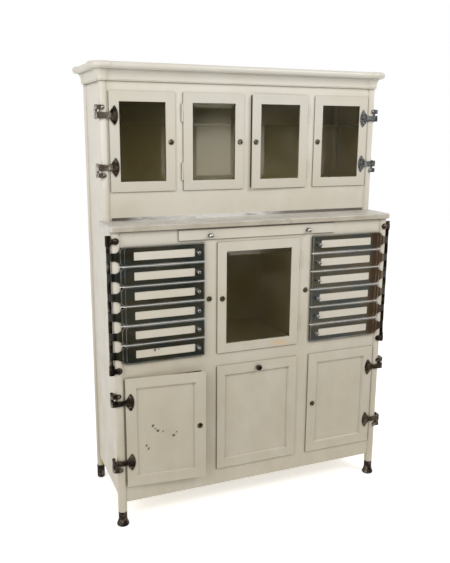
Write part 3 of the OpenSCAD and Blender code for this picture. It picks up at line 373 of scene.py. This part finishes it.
def tray_nickel(finish, knob_front, rim_front):
    """Polished nickel sheet of the tray fronts, with a chromium ball for a knob.

    It gives dark mirror-like fronts that run from brown to blue-black along each tray, with rims worn
    and painted pale in chrome as a painted highlight, a bright ball on each one, and rusty brown hinge
    ends on the right. The balls lie in front of the plane Y = knob_front, and the rims in front of
    Y = rim_front.
    """
    material, tree = blank_material("tray_nickel_plate")
    place = add(tree, "ShaderNodeTexCoord").outputs["Object"]
    axes = add(tree, "ShaderNodeSeparateXYZ", {"Vector": place})

    # Brown tarnish in bands, about 170 mm long and 45 mm high, and most on the topmost trays
    band = add(tree, "ShaderNodeTexNoise", {
        "Vector": add(tree, "ShaderNodeMapping", {"Vector": place, "Scale": (6, 2, 22)}).outputs["Vector"],
        "Scale": 1.0, "Detail": 4, "Roughness": 0.6})
    upper = add(tree, "ShaderNodeMapRange", {
        "Value": axes.outputs["Z"], "From Min": 0.93, "From Max": 0.96, "To Min": 0.45, "To Max": 0.85})
    patchy = add(tree, "ShaderNodeMapRange", {
        "Value": band.outputs["Fac"], "From Min": 0.40, "From Max": 0.62})
    brown = add(tree, "ShaderNodeMath", {0: patchy.outputs["Result"], 1: upper.outputs["Result"]},
                operation="MULTIPLY")
    first = add(tree, "ShaderNodeMix", {
        "Factor": brown.outputs["Value"], "A": finish.nickel_dark, "B": finish.nickel_brown},
        data_type="RGBA")

    # Blue tarnish in bands of its own, about 110 mm long and 60 mm high
    cool = add(tree, "ShaderNodeTexNoise", {
        "Vector": add(tree, "ShaderNodeMapping", {
            "Vector": place, "Location": (3, 1, 5), "Scale": (9, 2, 16)}).outputs["Vector"],
        "Scale": 1.0, "Detail": 4, "Roughness": 0.6})
    blue = add(tree, "ShaderNodeMapRange", {
        "Value": cool.outputs["Fac"], "From Min": 0.40, "From Max": 0.60, "To Max": 0.9})
    second = add(tree, "ShaderNodeMix", {
        "Factor": blue.outputs["Result"], "A": first.outputs["Result"], "B": finish.nickel_blue},
        data_type="RGBA")

    # Rusty hinge ends on the right, and the darkest nickel past the bend at both outer ends
    hinge_end = add(tree, "ShaderNodeMapRange", {
        "Value": axes.outputs["X"], "From Min": 0.455, "From Max": 0.475, "To Max": 0.75})
    rusty = add(tree, "ShaderNodeMix", {
        "Factor": hinge_end.outputs["Result"], "A": second.outputs["Result"], "B": finish.nickel_rusty},
        data_type="RGBA")
    out = add(tree, "ShaderNodeMath", {0: axes.outputs["X"]}, operation="ABSOLUTE")
    bend = add(tree, "ShaderNodeMapRange", {
        "Value": out.outputs["Value"], "From Min": 0.522, "From Max": 0.530})
    third = add(tree, "ShaderNodeMix", {
        "Factor": bend.outputs["Result"], "A": rusty.outputs["Result"], "B": finish.nickel_bend},
        data_type="RGBA")
    dirty = packed_corners(tree, third.outputs["Result"], 5 * MM, 0.85, finish.metal_dirt)

    # Rims rubbed and painted pale in chrome, a painted highlight, more in some places than in others, and the
    # balls
    raised = add(tree, "ShaderNodeMath", {0: axes.outputs["Y"], 1: rim_front}, operation="LESS_THAN")
    rubbed = add(tree, "ShaderNodeMapRange", {
        "Value": band.outputs["Fac"], "From Min": 0.35, "From Max": 0.6, "To Min": 0.9, "To Max": 0.35})
    rim = add(tree, "ShaderNodeMath", {0: raised.outputs["Value"], 1: rubbed.outputs["Result"]},
              operation="MULTIPLY")
    rim_highlighted = add(tree, "ShaderNodeMix", {
        "Factor": rim.outputs["Value"], "A": dirty, "B": finish.chrome}, data_type="RGBA")
    ball = add(tree, "ShaderNodeMath", {0: axes.outputs["Y"], 1: knob_front}, operation="LESS_THAN")
    tone = add(tree, "ShaderNodeMix", {
        "Factor": ball.outputs["Value"], "A": rim_highlighted.outputs["Result"], "B": finish.tray_knob},
        data_type="RGBA")

    # A high polish, duller on the worn rims but not on the balls, over sheet that isn't quite flat
    dull = wiping_marks(tree, place, 0.10, 0.22)
    polish = add(tree, "ShaderNodeMath", {0: 1.0, 1: ball.outputs["Value"]}, operation="SUBTRACT")
    worn = add(tree, "ShaderNodeMath", {0: rim.outputs["Value"], 1: polish.outputs["Value"]},
               operation="MULTIPLY")
    duller = add(tree, "ShaderNodeMath", {0: worn.outputs["Value"], 1: 0.5, 2: dull},
                 operation="MULTIPLY_ADD")
    dents = add(tree, "ShaderNodeTexNoise", {"Vector": place, "Scale": 1 / (50 * MM), "Detail": 3})
    bump = add(tree, "ShaderNodeBump", {
        "Height": dents.outputs["Fac"], "Strength": 0.25, "Distance": 4 * MM})
    shader = add(tree, "ShaderNodeBsdfPrincipled", {
        "Base Color": tone.outputs["Result"], "Metallic": 1.0, "Roughness": duller.outputs["Value"],
        "Normal": bump.outputs["Normal"]})
    add(tree, "ShaderNodeOutputMaterial", {"Surface": shader.outputs["BSDF"]})
    return material


def trim_nickel(finish):
    """Rolled nickel strip.

    It gives a satin metal line whose colour runs from dark at the very left end to near white from
    there to the middle and greyer towards the right, a painted reflection, with brown smears about
    40 mm long and 6 mm high.
    """
    material, tree = blank_material("trim_nickel")
    place = add(tree, "ShaderNodeTexCoord").outputs["Object"]
    along = add(tree, "ShaderNodeSeparateXYZ", {"Vector": place})
    left, right = -0.5, 0.5
    share = add(tree, "ShaderNodeMapRange", {
        "Value": along.outputs["X"], "From Min": left, "From Max": right})
    tone = add(tree, "ShaderNodeValToRGB", {"Fac": share.outputs["Result"]},
               stops=[(at, linear(code)) for at, code in TRIM_REFLECTION_TONES])
    smear = add(tree, "ShaderNodeTexNoise", {
        "Vector": add(tree, "ShaderNodeMapping", {"Vector": place, "Scale": (26, 10, 160)}).outputs["Vector"],
        "Scale": 1.0, "Detail": 4})
    mask = add(tree, "ShaderNodeMapRange", {
        "Value": smear.outputs["Fac"], "From Min": 0.52, "From Max": 0.72, "To Max": 0.5})
    smeared = add(tree, "ShaderNodeMix", {
        "Factor": mask.outputs["Result"], "A": tone.outputs["Color"], "B": finish.nickel_brown},
        data_type="RGBA")
    dull = add(tree, "ShaderNodeMapRange", {
        "Value": smear.outputs["Fac"], "From Min": 0.3, "From Max": 0.7, "To Min": 0.42, "To Max": 0.58})
    shader = add(tree, "ShaderNodeBsdfPrincipled", {
        "Base Color": smeared.outputs["Result"], "Metallic": 1.0, "Roughness": dull.outputs["Result"]})
    add(tree, "ShaderNodeOutputMaterial", {"Surface": shader.outputs["BSDF"]})
    return material


def honed_marble(finish, front):
    """Honed white marble, veined and stained.

    It gives a pale, slightly warm ground with thin grey veins, cloudy darker bands and a brown stain
    near the right-hand front, and a darker edge, in cloudy patches, in front of the plane Y = front.
    """
    material, tree = blank_material("honed_marble")
    place = add(tree, "ShaderNodeTexCoord").outputs["Object"]

    # Veins about 290 mm apart before a coarse pattern bends them, among clouds about 120 mm wide
    warp = add(tree, "ShaderNodeTexNoise", {
        "Vector": place, "Scale": 1 / (160 * MM), "Detail": 6, "Roughness": 0.6})
    bent = add(tree, "ShaderNodeVectorMath", {0: place, 1: warp.outputs["Color"]}, operation="ADD")
    band = add(tree, "ShaderNodeTexWave", {
        "Vector": bent.outputs["Vector"], "Scale": 2.2, "Distortion": 5.0, "Detail": 4, "Detail Scale": 2.0},
        bands_direction="DIAGONAL")
    vein = add(tree, "ShaderNodeMapRange", {
        "Value": band.outputs["Fac"], "From Min": 0.90, "From Max": 1.0, "To Max": 0.6})
    cloud = add(tree, "ShaderNodeTexNoise", {
        "Vector": place, "Scale": 1 / (120 * MM), "Detail": 5, "Roughness": 0.7})
    cloud_mask = add(tree, "ShaderNodeMapRange", {
        "Value": cloud.outputs["Fac"], "From Min": 0.45, "From Max": 0.8, "To Max": 0.7})
    veins = add(tree, "ShaderNodeMath", {0: vein.outputs["Result"], 1: cloud_mask.outputs["Result"]},
                operation="MAXIMUM")
    veined = add(tree, "ShaderNodeMix", {
        "Factor": veins.outputs["Value"], "A": finish.marble, "B": finish.marble_vein}, data_type="RGBA")

    # The stain, twice as wide as it is deep, with an edge that the clouds make uneven
    stain_x, stain_y, squeeze = 0.445, -0.108, 0.5
    flat = add(tree, "ShaderNodeVectorMath", {0: place, 1: (squeeze, 1, 0)}, operation="MULTIPLY")
    away = add(tree, "ShaderNodeVectorMath", {
        0: flat.outputs["Vector"], 1: (stain_x * squeeze, stain_y, 0)}, operation="DISTANCE")
    ring = add(tree, "ShaderNodeMath", {0: cloud.outputs["Fac"], 1: 30 * MM, 2: away.outputs["Value"]},
               operation="MULTIPLY_ADD")
    soaked = add(tree, "ShaderNodeMapRange", {
        "Value": ring.outputs["Value"], "From Min": 34 * MM, "From Max": 20 * MM, "To Max": 0.7})
    stained = add(tree, "ShaderNodeMix", {
        "Factor": soaked.outputs["Result"], "A": veined.outputs["Result"], "B": finish.marble_stain},
        data_type="RGBA")

    # The front face darker, by the grime colour in cloudy patches
    depth = add(tree, "ShaderNodeSeparateXYZ", {"Vector": place})
    edge = add(tree, "ShaderNodeMath", {0: depth.outputs["Y"], 1: front}, operation="LESS_THAN")
    smudge = add(tree, "ShaderNodeMath", {0: edge.outputs["Value"], 1: cloud.outputs["Fac"]},
                 operation="MULTIPLY")
    edged = add(tree, "ShaderNodeMix", {
        "Factor": smudge.outputs["Value"], "A": stained.outputs["Result"], "B": finish.grime_and_shade},
        data_type="RGBA")
    dull = add(tree, "ShaderNodeMapRange", {
        "Value": cloud.outputs["Fac"], "From Min": 0.3, "From Max": 0.7, "To Min": 0.26, "To Max": 0.42})
    shader = add(tree, "ShaderNodeBsdfPrincipled", {
        "Base Color": edged.outputs["Result"], "Roughness": dull.outputs["Result"], "IOR": 1.5})
    add(tree, "ShaderNodeOutputMaterial", {"Surface": shader.outputs["BSDF"]})
    return material


def plate_glass(name, tint):
    """Clear plate glass with a ground bevel.

    It shows the dark inside, and white where it catches the light, through a faint film of wiping
    in patches about 50 mm wide.
    """
    material, tree = blank_material(name)
    place = add(tree, "ShaderNodeTexCoord").outputs["Object"]
    film = add(tree, "ShaderNodeTexNoise", {"Vector": place, "Scale": 1 / (50 * MM), "Detail": 4})
    haze = add(tree, "ShaderNodeMapRange", {
        "Value": film.outputs["Fac"], "From Min": 0.4, "From Max": 0.7, "To Max": 0.04})
    glass = add(tree, "ShaderNodeBsdfPrincipled", {
        "Base Color": tint, "Roughness": haze.outputs["Result"], "IOR": 1.5, "Transmission Weight": 1.0})
    add(tree, "ShaderNodeOutputMaterial", {"Surface": glass.outputs["BSDF"]})
    return material


def finish_node(node, material):
    """Gives a solid of the frame its finish."""
    mesh = frame["nodes"][node].data
    mesh.materials.clear()
    mesh.materials.append(material)


def body_of(node):
    """The moving body that holds a solid of the frame."""
    bodies = frame["record"]["behaviour"]["bodies"]
    return next(name for name, nodes in bodies.items() if node in nodes)


def eased_copy(node, material, width):
    """A copy of a solid whose sharp edges are rounded, as pressed and enamelled sheet is."""
    weld, coplanar, sharp = 0.01 * MM, math.radians(1), math.radians(35)
    source = frame["nodes"][node]
    mesh = source.data.copy()
    mesh.name = node + "_eased"
    piece = bpy.data.objects.new(node + "_eased", mesh)
    bpy.context.scene.collection.objects.link(piece)
    sheet = bmesh.new()
    sheet.from_mesh(mesh)
    bmesh.ops.remove_doubles(sheet, verts=sheet.verts, dist=weld)
    bmesh.ops.dissolve_limit(sheet, angle_limit=coplanar, verts=sheet.verts, edges=sheet.edges)
    sheet.to_mesh(mesh)
    sheet.free()
    mesh.materials.clear()
    mesh.materials.append(material)
    bevel = piece.modifiers.new("edge", "BEVEL")
    bevel.width = width
    bevel.segments = 2
    bevel.limit_method = "ANGLE"
    bevel.angle_limit = sharp
    level = piece.modifiers.new("level_faces", "WEIGHTED_NORMAL")
    level.weight = 100
    for face in mesh.polygons:
        face.use_smooth = True
    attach(piece, body_of(node))
    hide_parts(node)
    return piece


def eased_by_place(node, materials, width, number):
    """A rounded copy of a solid whose faces take the material that number gives for each face."""
    piece = eased_copy(node, materials[0], width)
    for material in materials[1:]:
        piece.data.materials.append(material)
    for face in piece.data.polygons:
        face.material_index = int(number(face))
    return piece


def eased_door(node, front, behind, width):
    """A rounded copy of a door whose hidden sides, behind the lip, have the finish of the inside."""
    lip, square = 5 * MM, 0.1
    mesh = frame["nodes"][node].data
    ahead = max(mesh.polygons, key=lambda face: face.area * -face.normal.y).normal.copy()
    middle = sum((v.co for v in mesh.vertices), Vector()) / len(mesh.vertices)
    foremost = max(v.co.dot(ahead) for v in mesh.vertices)

    def hidden(face):
        deep = foremost - face.center.dot(ahead) > lip
        outward = face.normal.dot(face.center - middle) > 0
        return deep and outward and abs(face.normal.dot(ahead)) < square

    return eased_by_place(node, [front, behind], width, hidden)


class CabinetOperator:
    """What the cabinet's operators share."""

    bl_options = {"REGISTER", "UNDO"}

    @property
    def finish(self):
        return bpy.context.scene.cabinet_finish

    @property
    def sizes(self):
        return bpy.context.scene.cabinet_sizes


class CABINET_OT_body(CabinetOperator, bpy.types.Operator):
    """Enamel the posts, panels, frames and cornice, and the case inside"""

    bl_idname = "cabinet.body"
    bl_label = "Enamelled body"

    def execute(self, context):
        f = self.finish

        # The rear posts are yellowed with age and darkened as painted shade where they stand inside the cabinet
        posts, frame_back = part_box("corner_posts"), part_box("upper_front_frame")[1][1]
        inner = posts[1][0] - 17 * MM
        in_posts = ((-inner, frame_back, 0), (inner, posts[1][1] - 14 * MM, ABOVE))
        finish_node("corner_posts", stove_enamel(
            "post_enamel", f, tone=1.04, packed_dirt_and_shade=0.6, areas=((in_posts, f.inside),)))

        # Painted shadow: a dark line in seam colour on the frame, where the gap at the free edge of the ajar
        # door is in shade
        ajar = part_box("upper_door_3_frame")
        gap = ((ajar[0][0] - 1 * MM, -BESIDE, ajar[0][2] + 3 * MM),
               (ajar[0][0] + 14 * MM, BESIDE, ajar[1][2] - 3 * MM))
        finish_node("upper_front_frame", stove_enamel(
            "upper_frame_enamel", f, tone=1.03, packed_dirt_and_shade=0.6, areas=((gap, f.seam),)))
        finish_node("cornice", stove_enamel("cornice_enamel", f, tone=0.96, packed_dirt_and_shade=0.22))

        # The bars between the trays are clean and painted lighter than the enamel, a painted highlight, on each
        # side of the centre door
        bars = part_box("lower_front_frame")[0][1] + 5 * MM
        bay, foot, head = 0.2, 0.5, 1.1
        left = ((-BESIDE, bars - BESIDE, foot), (-bay, bars, head))
        right = ((bay, bars - BESIDE, foot), (BESIDE, bars, head))
        finish_node("lower_front_frame", stove_enamel(
            "front_frame_enamel", f, areas=((left, f.clean_enamel_highlight), (right, f.clean_enamel_highlight))))

        # The panels are yellowed with age and darkened as painted shade on the sides that face the room between
        # them
        wall = 1 * MM
        back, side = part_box("back_panel"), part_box("side_panels")
        room = ((side[0][0] + wall, -BESIDE, 0), (side[1][0] - wall, back[0][1] + wall, ABOVE))
        panel = stove_enamel("panel_enamel", f, areas=((room, f.inside),))
        finish_node("side_panels", panel)
        finish_node("back_panel", panel)
        everywhere = ((-BESIDE, -BESIDE, 0), (BESIDE, BESIDE, ABOVE))
        # The case inside is yellowed with age and darkened as painted shade all over
        finish_node("inner_case", stove_enamel("aged_and_shaded_inside_enamel", f, areas=((everywhere, f.inside),)))
        return {"FINISHED"}


class CABINET_OT_doors(CabinetOperator, bpy.types.Operator):
    """Enamel the doors, the bin and the writing shelf, with eased sheet edges"""

    bl_idname = "cabinet.doors"
    bl_label = "Doors and bin"

    def execute(self, context):
        f = self.finish
        upper = stove_enamel("upper_door_enamel", f, tone=0.90)
        lower = stove_enamel("lower_door_enamel", f, tone=0.97)
        chipped = stove_enamel("chipped_door_enamel", f, tone=0.95, chips=(
            (-0.407, 0.370, 0.0055), (-0.390, 0.350, 0.006), (-0.399, 0.358, 0.004), (-0.430, 0.299, 0.0055),
            (-0.423, 0.286, 0.005), (-0.332, 0.325, 0.006), (-0.322, 0.338, 0.003), (-0.37, 0.345, 0.003)))
        # The doors' hidden sides take the inside enamel, yellowed and darkened as painted shade
        behind = bpy.data.materials["aged_and_shaded_inside_enamel"]
        stained = stove_enamel("stained_door_enamel", f, tone=0.94, yellowed=(0.080, 0.619, 0.045))
        eased_door("lower_door_left", chipped, behind, self.sizes.edge)
        eased_door("lower_door_right", lower, behind, self.sizes.edge)
        eased_copy("bin", lower, self.sizes.edge)
        for n in range(1, 5):
            eased_door(f"upper_door_{n}_frame", upper, behind, self.sizes.edge)
        eased_door("centre_door_frame", stained, behind, self.sizes.edge)
        eased_copy("shelf_board", lower, self.sizes.edge)
        return {"FINISHED"}


class CABINET_OT_trays(CabinetOperator, bpy.types.Operator):
    """Finish the swing-out trays: enamelled pans behind dark nickel fronts"""

    bl_idname = "cabinet.trays"
    bl_label = "Trays"

    def execute(self, context):
        f = self.finish
        knob_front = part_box("tray_front_left_1")[0][1]
        band_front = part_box("tray_pan_left_1")[0][1]
        knob, rim = 12 * MM, 1.2 * MM
        nickel = tray_nickel(f, knob_front + knob, band_front - rim)
        pan = stove_enamel("tray_enamel", f, wear=0.8, chips=((-0.394, 0.648, 0.005), (-0.380, 0.650, 0.003)))
        for node in frame["nodes"]:
            if node.startswith("tray_front_"):
                eased_copy(node, nickel, self.sizes.fine_edge)
            if node.startswith("tray_pan_"):
                finish_node(node, pan)
        return {"FINISHED"}


class CABINET_OT_metalwork(CabinetOperator, bpy.types.Operator):
    """Finish the hinges, locks, rods, ferrules, trim strip and knobs"""

    bl_idname = "cabinet.metalwork"
    bl_label = "Metalwork"

    def execute(self, context):
        f = self.finish
        dark = nickel_plate("dark_hinge_plate", f, f.hinge_brown, f.hinge_dark,
                            gloss=(0.24, 0.38), patch=20, spread=(0.38, 0.62))
        bright = nickel_plate("bright_hinge_plate", f, f.hinge_bright, f.hinge_brown,
                              gloss=(0.18, 0.30), patch=12, spread=(0.42, 0.6))
        lock = nickel_plate("lock_nickel", f, f.lock, f.hinge_dark,
                            gloss=(0.26, 0.4), patch=6, spread=(0.4, 0.6))
        chrome = nickel_plate("chromium_plate", f, f.chrome, f.nickel_dark,
                              gloss=(0.08, 0.14), patch=20, spread=(0.6, 0.8))
        ferrule = nickel_plate("ferrule_metal", f, f.hinge_dark, f.hinge_brown,
                               gloss=(0.36, 0.5), patch=15, spread=(0.5, 0.8))
        rod = nickel_plate("rod_metal", f, f.hinge_brown, f.hinge_dark,
                           gloss=(0.3, 0.45), patch=30, spread=(0.3, 0.5))
        blue = nickel_plate("blue_hinge_plate", f, f.hinge_blue, f.hinge_dark,
                            gloss=(0.20, 0.32), patch=8, spread=(0.40, 0.62))
        width = self.sizes.fine_edge
        eased_copy("tray_rods", rod, width)
        for node in ("lower_door_left_fittings", "lower_door_right_fittings"):
            eased_by_place(node, [dark, lock], width, lambda face: abs(face.center.x) < LOWER_LOCKS)
        eased_by_place("upper_door_1_fittings", [bright, lock, dark], width, self.first_door_metal)
        eased_by_place("upper_door_4_fittings", [blue, lock], width, lambda face: face.center.x < UPPER_LOCKS)
        eased_by_place("fixed_fittings", [dark, lock, bright, blue], width, self.fixed_metal)
        for node in ("upper_door_2_fittings", "upper_door_3_fittings", "centre_door_lock"):
            finish_node(node, lock)
        finish_node("feet", ferrule)
        finish_node("bin_knob", ferrule)
        finish_node("trim_strip", trim_nickel(f))
        finish_node("shelf_knobs", chrome)
        return {"FINISHED"}

    def first_door_metal(self, face):
        """The number of a face's metal on the first upper door: lock, dark hinge plate or bright arm."""
        plate_end = 0.497
        if face.center.x > -UPPER_LOCKS:
            return 1
        return 2 if face.center.x > -plate_end else 0

    def fixed_metal(self, face):
        """The number of a face's metal on the fixed fittings: lock, upper left or right hinge, or lower."""
        at = face.center
        if abs(at.x) < LOWER_LOCKS:
            return 1
        if at.z > WORKTOP:
            return 2 if at.x < 0 else 3
        return 0


class CABINET_OT_marble(CabinetOperator, bpy.types.Operator):
    """Finish the marble worktop"""

    bl_idname = "cabinet.marble"
    bl_label = "Marble worktop"

    def execute(self, context):
        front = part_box("marble_worktop")[0][1] + 1 * MM
        finish_node("marble_worktop", honed_marble(self.finish, front))
        return {"FINISHED"}


class CABINET_OT_glass(CabinetOperator, bpy.types.Operator):
    """Glaze the doors and lay the glass shelf"""

    bl_idname = "cabinet.glass"
    bl_label = "Glass"

    def execute(self, context):
        glass = plate_glass("bevelled_plate_glass", self.finish.glass)
        for node in frame["nodes"]:
            if node.endswith("_glass"):
                finish_node(node, glass)
        finish_node("glass_shelf", glass)
        return {"FINISHED"}


class CABINET_OT_stage(CabinetOperator, bpy.types.Operator):
    """Set the floor, the lamps, the white surround and the camera"""

    bl_idname = "cabinet.stage"
    bl_label = "Stage"

    def execute(self, context):
        scene = context.scene
        mesh = bpy.data.meshes.new("floor")
        half = 6.0
        mesh.from_pydata(
            [(-half, -half, 0), (half, -half, 0), (half, half, 0), (-half, half, 0)], [], [(0, 1, 2, 3)])
        floor = bpy.data.objects.new("floor", mesh)
        scene.collection.objects.link(floor)
        mesh.materials.append(self.floor_material())
        self.surround(scene)
        self.dark_flag()
        middle = (0, 0, 1.0)
        self.lamp("key_lamp", (2.2, -3.0, 3.6), middle, width=1.6, power=72)
        self.lamp("fill_lamp", (-3.4, -2.0, 2.4), middle, width=2.2, power=66)
        self.camera(scene)
        return {"FINISHED"}

    def dark_flag(self):
        """A dark studio cloth in front, seen only in reflections, that darkens the polished metal.

        It lies on the floor from near to far and hangs up from there. Its folds grow paler towards
        the right, and one pale, brighter spot is there for the glass of the second upper door to mirror.
        """
        left, right, near, far, low, high = -1.6, 3.2, -0.5, -2.4, 0.004, 2.3
        mesh = bpy.data.meshes.new("dark_flag")
        mesh.from_pydata([(left, near, low), (right, near, low), (right, far, low), (left, far, low),
                          (right, far, high), (left, far, high)], [], [(0, 1, 2, 3), (3, 2, 4, 5)])
        flag = bpy.data.objects.new("dark_flag", mesh)
        bpy.context.scene.collection.objects.link(flag)
        flag.visible_camera = False
        flag.visible_diffuse = False
        flag.visible_shadow = False
        material, tree = blank_material("dark_cloth")
        place = add(tree, "ShaderNodeTexCoord").outputs["Object"]
        folds = add(tree, "ShaderNodeTexNoise", {
            "Vector": add(tree, "ShaderNodeMapping", {"Vector": place, "Scale": (3.5, 1, 4)}).outputs["Vector"],
            "Scale": 1.0, "Detail": 3})
        across = add(tree, "ShaderNodeSeparateXYZ", {"Vector": place})
        faded = add(tree, "ShaderNodeMapRange", {
            "Value": across.outputs["X"], "From Min": 0.5, "From Max": 1.4, "To Min": -0.13, "To Max": 0.12})
        level = add(tree, "ShaderNodeMath", {0: folds.outputs["Fac"], 1: faded.outputs["Result"]},
                    operation="ADD")
        tone = add(tree, "ShaderNodeValToRGB", {"Fac": level.outputs["Value"]},
                   stops=[(at, linear(code)) for at, code in CLOTH_TONES])
        spread = add(tree, "ShaderNodeVectorMath", {0: place, 1: (0.80, far, 1.14)}, operation="DISTANCE")
        pale = add(tree, "ShaderNodeMapRange", {
            "Value": spread.outputs["Value"], "From Min": 0.42, "From Max": 0.16},
            interpolation_type="SMOOTHSTEP")
        lit = add(tree, "ShaderNodeMix", {
            "Factor": pale.outputs["Result"], "A": tone.outputs["Color"], "B": linear(CLOTH_PALE)},
            data_type="RGBA")
        plain, extra = 1.0, 2.2
        bright = add(tree, "ShaderNodeMath", {0: pale.outputs["Result"], 1: extra, 2: plain},
                     operation="MULTIPLY_ADD")
        glow = add(tree, "ShaderNodeEmission", {
            "Color": lit.outputs["Result"], "Strength": bright.outputs["Value"]})
        add(tree, "ShaderNodeOutputMaterial", {"Surface": glow.outputs["Emission"]})
        mesh.materials.append(material)

    def floor_material(self):
        """Pale floor that shows as white and keeps the cabinet's shadow."""
        lift = 0.55
        material, tree = blank_material("pale_floor")
        plain = add(tree, "ShaderNodeBsdfDiffuse", {"Color": self.finish.floor})
        lifted = add(tree, "ShaderNodeMath", {0: seen_directly(tree), 1: lift}, operation="MULTIPLY")
        glow = add(tree, "ShaderNodeEmission", {"Color": (1, 1, 1, 1), "Strength": lifted.outputs["Value"]})
        both = add(tree, "ShaderNodeAddShader", {0: plain.outputs["BSDF"], 1: glow.outputs["Emission"]})
        add(tree, "ShaderNodeOutputMaterial", {"Surface": both.outputs["Shader"]})
        return material

    def surround(self, scene):
        """White to the camera, in metal and through glass, and a soft grey light elsewhere."""
        soft, white = 0.55, 1.0
        world = bpy.data.worlds.new("studio")
        scene.world = world
        world.use_nodes = True
        tree = world.node_tree
        tree.nodes.clear()
        strength = add(tree, "ShaderNodeMapRange", {
            "Value": seen_directly(tree), "To Min": soft, "To Max": white})
        light = add(tree, "ShaderNodeBackground", {
            "Color": (1, 1, 1, 1), "Strength": strength.outputs["Result"]})
        add(tree, "ShaderNodeOutputWorld", {"Surface": light.outputs["Background"]})

    def lamp(self, name, place, target, width, power):
        """A square soft lamp that faces a point."""
        data = bpy.data.lights.new(name, "AREA")
        data.shape = "SQUARE"
        data.size = width
        data.energy = power
        lamp = bpy.data.objects.new(name, data)
        lamp.location = place
        lamp.rotation_euler = (Vector(target) - Vector(place)).to_track_quat("-Z", "Y").to_euler()
        bpy.context.scene.collection.objects.link(lamp)

    def camera(self, scene):
        """The camera at the photograph's viewpoint, with a frame 36 mm high."""
        s = self.sizes
        data = bpy.data.cameras.new("camera")
        data.sensor_fit = "VERTICAL"
        data.sensor_height = 36
        data.lens = s.camera_lens
        data.clip_end = 50
        camera = bpy.data.objects.new("camera", data)
        scene.collection.objects.link(camera)
        yaw, pitch, roll = s.camera_yaw, s.camera_pitch, s.camera_roll
        ahead = Vector((math.sin(yaw) * math.cos(pitch), math.cos(yaw) * math.cos(pitch), -math.sin(pitch)))
        level = Vector((math.cos(yaw), -math.sin(yaw), 0))
        above = level.cross(ahead)
        right = level * math.cos(roll) + above * math.sin(roll)
        up = above * math.cos(roll) - level * math.sin(roll)
        turn = Matrix((right, up, -ahead)).transposed().to_4x4()
        camera.matrix_world = Matrix.Translation((s.camera_x, s.camera_y, s.camera_z)) @ turn
        scene.camera = camera
        scene.view_settings.view_transform = "Standard"


OPERATORS = (CABINET_OT_body, CABINET_OT_doors, CABINET_OT_trays, CABINET_OT_metalwork, CABINET_OT_marble,
             CABINET_OT_glass, CABINET_OT_stage)


class CABINET_PT_panel(bpy.types.Panel):
    """Lists the cabinet's pieces and finishes in the sidebar"""

    bl_label = "Dental cabinet"
    bl_idname = "CABINET_PT_panel"
    bl_space_type = "VIEW_3D"
    bl_region_type = "UI"
    bl_category = "Cabinet"

    def draw(self, context):
        layout = self.layout
        for operator in OPERATORS:
            layout.operator(operator.bl_idname)
        for name in CabinetFinish.__annotations__:
            layout.prop(context.scene.cabinet_finish, name)
        for name in CabinetSizes.__annotations__:
            layout.prop(context.scene.cabinet_sizes, name)


CLASSES = (CabinetFinish, CabinetSizes) + OPERATORS + (CABINET_PT_panel,)


def register():
    for item in CLASSES:
        bpy.utils.register_class(item)
    bpy.types.Scene.cabinet_finish = bpy.props.PointerProperty(type=CabinetFinish)
    bpy.types.Scene.cabinet_sizes = bpy.props.PointerProperty(type=CabinetSizes)


def unregister():
    del bpy.types.Scene.cabinet_sizes
    del bpy.types.Scene.cabinet_finish
    for item in reversed(CLASSES):
        bpy.utils.unregister_class(item)


def main():
    register()
    bpy.ops.cabinet.body()
    bpy.ops.cabinet.doors()
    bpy.ops.cabinet.trays()
    bpy.ops.cabinet.metalwork()
    bpy.ops.cabinet.marble()
    bpy.ops.cabinet.glass()
    bpy.ops.cabinet.stage()


if __name__ == "__main__":
    main()
